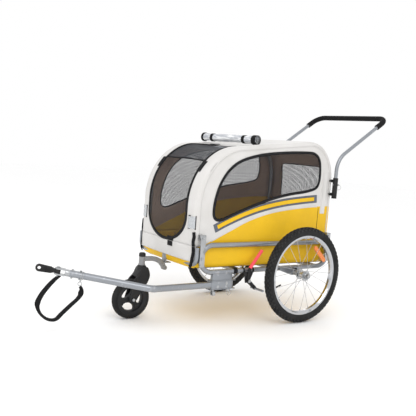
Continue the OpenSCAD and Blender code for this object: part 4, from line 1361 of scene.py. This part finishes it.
def slab(outline, inner, outer, rounding, material):
    """A plate with its outline given as (y, z) in millimetres, rounded at its edges."""
    count = len(outline)
    points = [at(x, y, z) for x in (inner, outer) for y, z in outline]
    faces = [tuple(range(count))[::-1], tuple(range(count, 2 * count))]
    faces += [(k, (k + 1) % count, (k + 1) % count + count, k + count) for k in range(count)]
    mesh = bpy.data.meshes.new("slab")
    mesh.from_pydata([tuple(p) for p in points], [], faces)
    mesh.materials.append(material)
    mesh.polygons.foreach_set("use_smooth", [True] * len(faces))
    piece = bpy.data.objects.new("slab", mesh)
    bpy.context.scene.collection.objects.link(piece)
    tidy_normals(piece)
    edge = piece.modifiers.new("edge", "BEVEL")
    edge.width = rounding / 1000
    edge.segments = 3
    edge.limit_method = "ANGLE"
    edge.angle_limit = math.radians(50)
    bake_down(piece)
    crease(piece, 50)
    return piece


def round_outline(knots, count=64):
    """A smooth closed outline through some (y, z) points."""
    loop = [Vector((y, z, 0)) for y, z in knots]
    line = curve_through(loop[-2:] + loop + loop[:2], count * 3)
    start = min(range(count), key=lambda i: (line[i] - loop[0]).length)
    end = min(range(2 * count, 3 * count), key=lambda i: (line[i] - loop[0]).length)
    return [(p.x, p.y) for p in even(line[start:end], count, True)]


def caster_fork():
    cheek = round_outline([(-744, 262), (-731, 242), (-726, 218), (-732, 194), (-746, 170), (-774, 128),
                           (-797, 92), (-812, 84), (-828, 91), (-830, 110), (-819, 146), (-824, 172),
                           (-815, 198), (-793, 222), (-781, 246), (-772, 259)])
    crown = round_outline([(-746, 261), (-733, 242), (-727, 220), (-734, 208), (-760, 208), (-790, 209),
                           (-797, 215), (-784, 242), (-772, 260)])
    inner, outer = CASTER_W + 4, CASTER_W + 12
    parts = [slab(cheek, inner, outer, 2.5, BLACK), slab(cheek, -outer, -inner, 2.5, BLACK),
             slab(crown, -inner - 2, inner + 2, 1.0, BLACK)]
    fork = joined("caster_fork_moulding", parts, "caster_fork_body")
    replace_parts(fork, "caster_fork")
    turned_shape("caster_fork_collar", [(244, 24), (250, 25), (262, 23.5), (266.5, 21), (266.8, 0)],
                 at(0, -761, 0), Vector((0, 0, 1)), [BLACK], "caster_fork_body", 48)
    turned_shape("caster_stem", [(266, 5.9), (300, 5.9), (302, 0)], at(0, -761, 0), Vector((0, 0, 1)), [ZINC],
                 "caster_fork_body", 24)


def caster_wheel():
    hub = [(-22, 17.5), (-19, 20), (-12, 21), (12, 21), (19, 20), (22, 17.5), (22, 4.3), (-22, 4.3), (-22,
            17.5)]
    rim = [(-18, CASTER_R - 38), (-18.5, CASTER_R - 36), (-18.5, CASTER_R - 20.3), (18.5, CASTER_R - 20.3),
           (18.5, CASTER_R - 36), (18, CASTER_R - 38), (10, CASTER_R - 41), (-10, CASTER_R - 41),
           (-18, CASTER_R - 38)]
    parts = []
    for name, profile in (("hub", hub), ("rim", rim)):
        parts.append(turned_shape(name, profile, CASTER, ACROSS, [BLACK], "caster_wheel_body",
                72))
    half = [(12, 17), (24, 13.5), (34, 12), (44, 15), (53, 24), (60, 36)]
    for spoke in range(3):
        lean = math.radians(40 + 120 * spoke)
        outline = []
        for r, w in half + [(r, -w) for r, w in reversed(half)]:
            y = r * math.sin(lean) + w * math.cos(lean)
            z = -r * math.cos(lean) + w * math.sin(lean)
            outline.append((CASTER.y * 1000 - AXLE_Y * 1000 + y, CASTER.z * 1000 + z))
        parts.append(slab(outline, -11, 11, 3, BLACK))
    wheel = joined("caster_wheel_moulding", parts, "caster_wheel_body")
    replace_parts(wheel, "caster_wheel")
    r = CASTER_R
    tread = [(-18.8, r - 20), (-19, r - 14), (-18.2, r - 7), (-15, r - 3), (-9, r - 0.8), (-5, r - 0.3),
             (-4.4, r - 1.6), (-3.4, r - 1.6), (-2.8, r), (2.8, r), (3.4, r - 1.6), (4.4, r - 1.6), (5,
             r - 0.3),
             (9, r - 0.8), (15, r - 3), (18.2, r - 7), (19, r - 14), (18.8, r - 20), (-18.8, r - 20)]
    tyre_piece = turned_shape("caster_tyre_moulding", tread, CASTER, ACROSS, [RUBBER], "caster_wheel_body",
                              120)
    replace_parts(tyre_piece, "caster_tyre")


caster_fork()
caster_wheel()


def caster_arm():
    arch = [(-752, 289), (-752, 311), (-705, 311), (-676, 306), (-652, 295), (-634, 278), (-624, 258),
            (-621, 243),
            (-627, 238), (-638, 240), (-646, 254), (-660, 270), (-682, 282), (-708, 288)]
    clamp = [(-634, 282), (-634, 330), (-628, 334), (-628.2, 284), (-600, 280), (-600, 276), (-634, 276)]
    sleeve = turned_shape("sleeve", [(268, 15.5), (312, 15.5), (312, 9.1), (268, 9.1), (268, 15.5)], at(0,
                          -761, 0),
                          Vector((0, 0, 1)), [GREY_PAINT], "chassis", 48)
    knuckle = turned_shape("knuckle", [(-16, 9), (-14, 11), (14, 11), (16, 9)], at(0, -630, 250), ACROSS,
                           [GREY_PAINT], "chassis", 32)
    parts = [slab(arch, -12, 12, 3, GREY_PAINT), slab(clamp, -18, 18, 0.8, GREY_PAINT), sleeve, knuckle]
    arm = joined("caster_arm_casting", parts, "chassis")
    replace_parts(arm, "caster_arm")


caster_arm()
hex_bolt("arm_clamp_bolt", at(0, -630, 334), Vector((0, 0, 1)), 12, 6)
softened("caster_axle", 0.0008, ZINC, "caster_fork_body")
dress(BUSH, "caster_bushes")
cap = turned_shape("caster_cap_dome", [(0, 16), (1, 17), (12, 17), (17, 15.5), (19.5, 11), (20, 0)],
                   at(0, -761, 312), Vector((0, 0, 1)), [BLACK], "chassis", 48)
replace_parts(cap, "caster_cap")
turned_shape("steering_sleeve_ring", [(268, 16), (270, 18), (274, 18), (276, 16)], at(0, -761, 0),
             Vector((0, 0, 1)), [GREY_PAINT], "chassis", 48)

# ---- Fold brackets ----
# Pressed steel ears, bolted outside the loops, hold the hoops' hinge bolts. The front
# bottom corners of the tub are bound with thick black tape.

softened("fold_brackets", 0.0015, ZINC, "chassis")


fold_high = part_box("fold_brackets")[1]
for sign, word in ((1, "left"), (-1, "right")):
    for y, end in ((-596, "front"), (238, "rear")):
        hex_bolt("fold_bolt_" + end + "_" + word, Vector((sign * fold_high.x, AXLE_Y + y / 1000, 0.448)),
                 Vector((sign, 0, 0)), 14, 6)
        hex_bolt("bracket_bolt_" + end + "_" + word, Vector((sign * fold_high.x, AXLE_Y + y / 1000, 0.345)),
                 Vector((sign, 0, 0)), 12, 4.5)


def corner_tape(knots, sign):
    """Thick tape folded over the corner, along a line of points."""
    outline = [(0.008 * math.copysign(abs(math.cos(a)) ** 0.5, math.cos(a)),
                0.0026 * math.copysign(abs(math.sin(a)) ** 0.5, math.sin(a)))
               for a in [2 * math.pi * k / 16 for k in range(16)]]
    points, faces = sweep(curve_through(knots, 30), outline, up=Vector((sign, -1, 0.1)))
    return make_piece("corner_tape", points, faces, [BLACK_TAPE], "chassis")


def corner_tapes():
    parts = []
    for sign in (1, -1):
        knots = [at(sign * 251, -628, 399), at(sign * 252, -627, 370), at(sign * 250, -630, 340),
                 at(sign * 247, -631, 315), at(sign * 236, -630, 300)]
        parts.append(corner_tape(knots, sign))
    tapes = joined("corner_tapes", parts, "chassis")
    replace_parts(tapes, "corner_guards")
    upper = [corner_tape([at(sign * 251, -628, 401), at(sign * 250, -630, 425), at(sign * 252, -628, 448),
                          at(sign * 248, -629, 470)], sign) for sign in (1, -1)]
    folds_down(joined("corner_tapes_upper", upper, "chassis"))


corner_tapes()

# ---- Drawbar receiver ----
# A folded steel bracket under the left loop holds the drawbar's rear block between two
# flanges. A pin with a pull ring is the pivot and a sprung catch holds the bar straight.

softened("receiver", 0.001, SILVER, "chassis")
softened("drawbar_latch", 0.0012, ZINC, "latch_body")
dress(ZINC, "pivot_pin")
dress(BLACK_TAPE, "rail_strap")
for index, (y, z) in enumerate(((-440, 219), (-492, 203))):
    hex_bolt("block_bolt_%d" % index, at(288.5, y, z), ACROSS, 11, 4, "drawbar_body")
for index, y in enumerate((-430, -505)):
    hex_bolt("receiver_bolt_%d" % index, at(248.2, y, 212), -ACROSS, 12, 4)

# ---- Drawbar and hitch ----
# A 32 mm steel tube, bent inwards and up to the bicycle's axle. Its end carries a plated
# clevis; a flat rubber coupler with an eye turns on the clevis pin.

softened("drawbar", 0.0012, SILVER, "drawbar_body")
softened("hitch_clevis", 0.0015, ZINC, "drawbar_body")
softened("hitch_pin", 0.0008, ZINC, "drawbar_body")
softened("snap_hook", 0.001, ZINC, "drawbar_body")
coupler_rubber = rubber_finish("coupler_rubber", 0.010, 0.022)
softened("coupler", 0.0018, coupler_rubber, "coupler_body")
TURN, RISE = math.radians(20.8), math.radians(9.7)
BAR_X = Vector((math.cos(TURN), -math.sin(TURN), 0))
BAR_AHEAD = Vector((-math.sin(TURN) * math.cos(RISE), -math.cos(TURN) * math.cos(RISE), math.sin(RISE)))
BAR_Z = BAR_X.cross(-BAR_AHEAD)


def on_bar(side, ahead, up):
    """A point beside the drawbar's front run, in millimetres from its bend."""
    return at(272, -850, 212) + (BAR_X * side + BAR_AHEAD * ahead + BAR_Z * up) / 1000


for index, ahead in enumerate((336, 372)):
    hex_bolt("hitch_bolt_%d" % index, on_bar(0, ahead, 15.5), BAR_Z, 10, 6, "drawbar_body")
    hex_bolt("hitch_nut_%d" % index, on_bar(0, ahead, -15.5), -BAR_Z, 10, 6, "drawbar_body")
for sign in (1, -1):
    for index in range(4):
        place = on_bar(sign * 6.8, 436 + 34 + index * 7, 0)
        across = BAR_Z
        points, faces = sweep([place - across * 0.008, place + across * 0.008], ring_outline(0.0016, 8),
                              up=BAR_AHEAD)
        make_piece("coupler_rib_%d_%s" % (index, "left" if sign > 0 else "right"), points, faces,
                   [coupler_rubber], "coupler_body")

# ---- Safety strap ----
# Black nylon webbing, 25 mm wide and 2 mm thick. It is sewn to the clevis, hangs in a
# loop under the bar and comes back to the ring on the bar.

WEBBING = tape_finish("black_webbing", shade(0.004, 0.004, 0.0045), shade(0.009, 0.009, 0.01))


def safety_strap():
    knots = [at(115, -1238, 266), at(106, -1262, 242), at(105, -1290, 213), at(107, -1318, 178),
             at(109, -1334, 140), at(112, -1322, 100), at(117, -1290, 71), at(124, -1254, 67),
             at(131, -1226, 95), at(140, -1190, 132), at(149, -1166, 158), at(155, -1154, 180),
             at(157, -1152, 204), at(155, -1158, 219)]
    path = curve_through(knots, 96)
    outline = [(0.0125 * math.copysign(abs(math.cos(a)) ** 0.3, math.cos(a)), 0.0011 * math.sin(a))
               for a in [2 * math.pi * k / 16 for k in range(16)]]
    points, faces = sweep(path, outline, up=Vector((0.4, 0, 1)))
    strap = make_piece("safety_strap_webbing", points, faces, [WEBBING], None)
    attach(strap, "drawbar_body")
    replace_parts(strap, "safety_strap")
    length = sum((b - a).length for a, b in zip(path, path[1:]))


safety_strap()

# ---- Parking brakes ----
# Each main wheel has a hand lever with a red rubber grip. Its foot bar swings between the
# spokes. The lever hangs from a black bracket clamped round the loop.

softened("brake_brackets", 0.001, BLACK, "chassis")
RED = moulded_finish("red_grip_rubber", shade(0.86, 0.06, 0.09), shade(0.95, 0.09, 0.12), 0.42)
for sign, word in ((1, "left"), (-1, "right")):
    body = "brake_" + word + "_body"
    lever = softened("brake_lever_" + word, 0.0012, BLACK, body)
    lever.data.materials.append(SILVER)
    for face in lever.data.polygons:
        off = face.center - at(0, -261, 183)
        if math.hypot(off.y, off.z) < 0.0066 and abs(face.center.x) > 0.262:
            face.material_index = 1
    low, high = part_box("brake_grip_" + word)
    foot = at(0, -304, 290)
    foot.x = (low.x + high.x) / 2
    top = at(0, -234, 380)
    top.x = foot.x
    span = (top - foot).length * 1000
    ribs = [(0, 7.6), (1.5, 8.8)]
    for ring in range(12):
        start = 8 + ring * (span - 18) / 12
        ribs += [(start, 8.8), (start + 1.6, 8.0), (start + 3.6, 8.0), (start + 5.2, 8.8)]
    ribs += [(span - 5, 8.8), (span - 1.2, 7.4), (span, 4), (span, 0)]
    grip = turned_shape("brake_grip_ribbed_" + word, ribs, foot, top - foot, [RED], body, 28)
    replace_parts(grip, "brake_grip_" + word)
    hex_bolt("brake_pivot_nut_" + word, at(sign * 310, -312, 226), Vector((sign, 0, 0)), 11, 5)

# ---- Hoops and push handle ----
# Two 22 mm hoops carry the cover and fold down inwards. The rear one carries black
# sockets for the 20 mm push handle, which is set in height by two pull pins.

dress(SILVER, "front_hoop", "rear_hoop", "handlebar")
softened("handle_sockets", 0.001, BLACK, "rear_hoop_body")
dress(ZINC, "lock_pin_left", "lock_pin_right")
dress(BLACK, "release_button_left", "release_button_right")


def foam_finish():
    foam = Finish("black_foam_grip", Specular_IOR_Level=0.2)
    pores = foam.node("TexVoronoi", {}, {"Vector": foam.place(), "Scale": 520.0})
    cloud = foam.grain(14.0, 3.0)
    foam.set("Base Color", foam.blend(cloud, shade(0.006, 0.006, 0.007), shade(0.014, 0.014, 0.015)))
    foam.set("Roughness", 0.82 + 0.1 * cloud)
    foam.relief(pores, 0.0006, 0.7)
    return foam.material


dress(foam_finish(), "handle_grip")
for sign, word in ((1, "left"), (-1, "right")):
    pin_low, pin_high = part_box("lock_pin_" + word)
    centre = Vector(((pin_low.x + pin_high.x) / 2, pin_high.y - 0.003, (pin_low.z + pin_high.z) / 2 - 0.014))
    ring = [centre + Vector((0, 0.014 * math.sin(a) * 0.3, 0.014 * math.cos(a)))
            + Vector((0.014 * math.sin(a), 0, 0)) for a in [2 * math.pi * k / 32 for k in range(32)]]
    points, faces = sweep(ring, ring_outline(0.0009, 8), closed=True, up=Vector((0, 1, 0.01)))
    make_piece("lock_pin_ring_" + word, points, faces, [ZINC], "lock_pin_" + word + "_body")

# ---- Rolled rain cover ----
# A clear vinyl rain cover is rolled up on the roof and held by two black straps; its ends
# are closed by black caps of webbing.

roll_low, roll_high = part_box("rain_cover_roll")


def vinyl_finish():
    vinyl = Finish("clear_vinyl_roll", Coat_Weight=0.6, Coat_Roughness=0.08)
    streak = vinyl.grain(30.0, 5.0, (0.25, 3.0, 3.0))
    fold = vinyl.step(streak, 0.42, 0.60)
    vinyl.set("Base Color", vinyl.blend(fold, shade(0.42, 0.44, 0.48), shade(0.86, 0.87, 0.88)))
    vinyl.set("Roughness", 0.12 + 0.22 * fold)
    vinyl.relief(streak, 0.006, 0.8)
    return vinyl.material


VINYL = vinyl_finish()


def rolled_cover():
    radius = 0.021
    middle = (roll_low + roll_high) / 2 - Vector((0, 0, 0.007))
    reach = (roll_high.x - roll_low.x) / 2
    turn = math.radians(8)
    along = Vector((math.cos(turn), math.sin(turn), 0))
    side = Vector((-along.y, along.x, 0))
    above = Vector((0, 0, 1))
    length = reach / math.cos(turn) - 0.004
    points, faces = [], []
    rows, sides = 90, 44
    for i in range(rows + 1):
        t = i / rows * 2 - 1
        for k in range(sides):
            angle = 2 * math.pi * k / sides
            lump = noise.noise(Vector((t * 7, math.cos(angle) * 1.4, math.sin(angle) * 1.4)))
            crease_line = noise.noise(Vector((t * 2.2, angle * 3.0, 5)))
            pinch = sum(math.exp(-((t - at_strap) / 0.05) ** 2) for at_strap in (-0.62, 0.55))
            r = radius * (1 + 0.10 * lump + 0.07 * crease_line - 0.13 * pinch)
            flat = 0.93 if math.sin(angle) < 0 else 1.0
            points.append(middle + along * (t * length) + side * (r * math.cos(angle))
                          + above * (r * flat * math.sin(angle)))
    for i in range(rows):
        for k in range(sides):
            n = (k + 1) % sides
            faces.append((i * sides + k, i * sides + n, (i + 1) * sides + n, (i + 1) * sides + k))
    faces.append(tuple(range(sides))[::-1])
    faces.append(tuple(rows * sides + k for k in range(sides)))
    roll = make_piece("rain_cover_rolled", points, faces, [VINYL], "chassis")
    crease(roll, 60)
    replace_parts(roll, "rain_cover_roll")
    folds_down(roll)
    for name, t0, t1, grow in (("roll_strap_near", 0.50, 0.60, 0.0), ("roll_strap_far", -0.67, -0.57, 0.0),
                               ("roll_end_near", 0.86, 1.0, 0.0016), ("roll_end_far", -1.0, -0.93, 0.0010)):
        points, faces = [], []
        stations = [(t0, -0.003), (t0 + 0.004, 0.0), (t1 - 0.004, 0.0), (t1, -0.003)]
        if "end" in name:
            tip = t1 if t1 > 0.9 else t0
            stations = stations + [(tip, -0.010)] if tip > 0 else [(tip, -0.010)] + stations
        for t, drop in stations:
            for k in range(36):
                angle = 2 * math.pi * k / 36
                r = radius * (1.0 if "end" in name else 0.93) + 0.0022 + grow + drop
                points.append(middle + along * (t * length) + side * (r * math.cos(angle))
                              + above * (r * math.sin(angle)))
        for i in range(len(stations) - 1):
            for k in range(36):
                n = (k + 1) % 36
                faces.append((i * 36 + k, i * 36 + n, (i + 1) * 36 + n, (i + 1) * 36 + k))
        faces.append(tuple(range(36))[::-1])
        faces.append(tuple((len(stations) - 1) * 36 + k for k in range(36)))
        band = make_piece(name, points, faces, [BLACK_TAPE], "chassis")
        crease(band, 40)
        folds_down(band)
    for name, t, run in (("roll_strap_tail_near", 0.55, 70), ("roll_strap_tail_far", -0.62, 50)):
        start = middle + along * (t * length)
        first = Vector(((start.x) * 1000, 0))
        s0 = profile_where(lambda p, k: p.x > (start.y - AXLE_Y) * 1000 - 22)
        path = dense([Vector((first.x, s0)), Vector((first.x + 14, s0 + run))], 12, False)
        folds_down(tape(name, on_band, path, flat_tape(22, 2.4), [BLACK_TAPE], "chassis", "webbing"))


rolled_cover()

# ---- Reflectors, door buckle and zip tabs ----
# Silver folded reflectors are riveted at the front corners. A black buckle tab holds the
# door's lower edge, and short webbing tabs hold it when it is rolled up.


def prism_finish():
    prism = Finish("silver_reflector", Metallic=0.55, Coat_Weight=0.7, Coat_Roughness=0.05)
    cell = prism.node("TexVoronoi", {"feature": "DISTANCE_TO_EDGE"},
                      {"Vector": prism.place(), "Scale": 300.0})
    edge = prism.step(cell, 0.02, 0.14)
    prism.set("Base Color", prism.blend(edge, shade(0.30, 0.32, 0.34), shade(0.66, 0.68, 0.70)))
    prism.set("Roughness", 0.16 + 0.1 * edge)
    prism.relief(edge, 0.0005, 0.7)
    return prism.material


PRISM = prism_finish()
reflector_path = dense(vec([(0, 86), (0, 144)]), 6, False)
for sign, word in ((1, "left"), (-1, "right")):
    def corner(p, lift=0.0, sign=sign):
        return on_band(Vector((p.x + sign * 228, p.y)), lift)
    folds_down(tape("corner_reflector_" + word, corner, reflector_path,
                    [(-24, 0.5), (-23, 4.0), (-2, 6.0), (0, 4.6), (2, 6.0), (23, 4.0), (24, 0.5)], [PRISM],
                    "chassis", "tube_silver"))
    folds_down(tape("reflector_frame_" + word, corner, dense(vec([(0, 82), (0, 148)]), 6, False),
                    [(-27, 0.3), (-26, 2.6), (26, 2.6), (27, 0.3)], [BLACK_TAPE], "chassis", "webbing"))
    near_tab = profile_where(lambda p, k: p.y > 770)
    tab_path = dense(vec([(sign * 190, near_tab - 14), (sign * 194, near_tab + 50)]), 10, False)
    folds_down(tape("zip_tab_" + word, on_band, tab_path, [(-13, 0.8), (-12, 3.6), (12, 3.6), (13, 0.8)],
                    [BLACK_TAPE], "chassis", "webbing"))

tape("door_tab", on_band, dense(vec([(56, -26), (56, -2)]), 5, False), flat_tape(44, 3.6), [BLACK_TAPE],
     "chassis", "webbing")
folds_down(tape("door_tab_loop", on_band, dense(vec([(56, 1), (56, 22)]), 5, False), flat_tape(52, 4.0),
                [BLACK_TAPE], "chassis", "webbing"))

# ---- White apron ----
# A white strip sewn to the front of the tub carries the cover's colour down past the sill;
# black tape edges it at both corners.

apron_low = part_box("front_apron")[0]


def apron():
    drop = (SILL - apron_low.z) * 1000
    half = BAND - 4
    outline = dense(vec([(-half, -drop), (half, -drop), (half, 1), (-half, 1)]), 12)
    points, triangles, _ = cut_cloth(outline, [], [], 12)
    sheet = make_piece("white_apron", [on_band(p, 1.0) for p in points], [list(t) for t in triangles],
                       [WHITE],
                       None)
    wall = sheet.modifiers.new("cloth", "SOLIDIFY")
    wall.thickness = 0.0014
    wall.offset = -1
    bake_down(sheet)
    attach(sheet, "chassis")
    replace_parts(sheet, "front_apron")
    hem = dense(vec([(-half, -drop + 3), (half, -drop + 3)]), 12, False)
    tape("apron_hem", on_band, hem, [(-4, 0.8), (-3, 1.9), (3, 1.9), (4, 0.8)], [WHITE], "chassis",
            "white_fabric")
    stitched("apron_stitches", [on_band(p, 2.2) for p in hem], False, PALE_THREAD, "chassis",
             squashed=False)


apron()

# ---- Camera, light and floor ----
# A plain pale floor under soft studio light, with the camera ahead of the trailer's left side.


def studio():
    rim = bpy.data.meshes.new("studio_floor")
    rim.from_pydata([(-14, -14, 0), (14, -14, 0), (14, 14, 0), (-14, 14, 0)], [], [(0, 1, 2, 3)])
    floor = bpy.data.objects.new("studio_floor", rim)
    bpy.context.scene.collection.objects.link(floor)
    paper = Finish("pale_paper", Roughness=0.9)
    paper.set("Base Color", paper.blend(paper.grain(0.8), shade(0.985, 0.985, 0.985),
                                        shade(0.995, 0.995, 0.995)))
    rim.materials.append(paper.material)
    world = bpy.data.worlds.new("studio")
    world.use_nodes = True
    world.node_tree.nodes["Background"].inputs["Color"].default_value = (1.0, 1.0, 1.0, 1.0)
    world.node_tree.nodes["Background"].inputs["Strength"].default_value = 1.0
    bpy.context.scene.world = world
    bpy.context.scene.view_settings.view_transform = "Standard"
    for name, place, aim, size, power in (
            ("key_light", (3.4, -1.6, 3.6), (0.0, 0.1, 0.5), 2.6, 60),
            ("front_light", (0.6, -4.6, 2.2), (0.0, 0.0, 0.5), 2.4, 20),
            ("rear_light", (-2.6, 3.4, 3.4), (0.0, 0.3, 0.6), 2.4, 20)):
        light = bpy.data.lights.new(name, "AREA")
        light.size = size
        light.energy = power
        lamp = bpy.data.objects.new(name, light)
        bpy.context.scene.collection.objects.link(lamp)
        lamp.location = place
        lamp.rotation_euler = (Vector(aim) - Vector(place)).to_track_quat("-Z", "Y").to_euler()


def camera():
    turn, dip, roll = math.radians(54.87), math.radians(5.55), math.radians(4.36)
    ahead = Vector((-math.sin(turn) * math.cos(dip), math.cos(turn) * math.cos(dip), -math.sin(dip)))
    level = Vector((math.cos(turn), math.sin(turn), 0))
    above = level.cross(ahead)
    right = level * math.cos(roll) + above * math.sin(roll)
    up = above * math.cos(roll) - level * math.sin(roll)
    lens = bpy.data.cameras.new("camera")
    lens.sensor_width = 36.0
    lens.lens = 56.76
    view = bpy.data.objects.new("camera", lens)
    bpy.context.scene.collection.objects.link(view)
    frame_axes = Matrix((right, up, -ahead)).transposed().to_4x4()
    view.matrix_world = Matrix.Translation(at(2829.1, -2372.8, 894.2)) @ frame_axes
    bpy.context.scene.camera = view


studio()
camera()
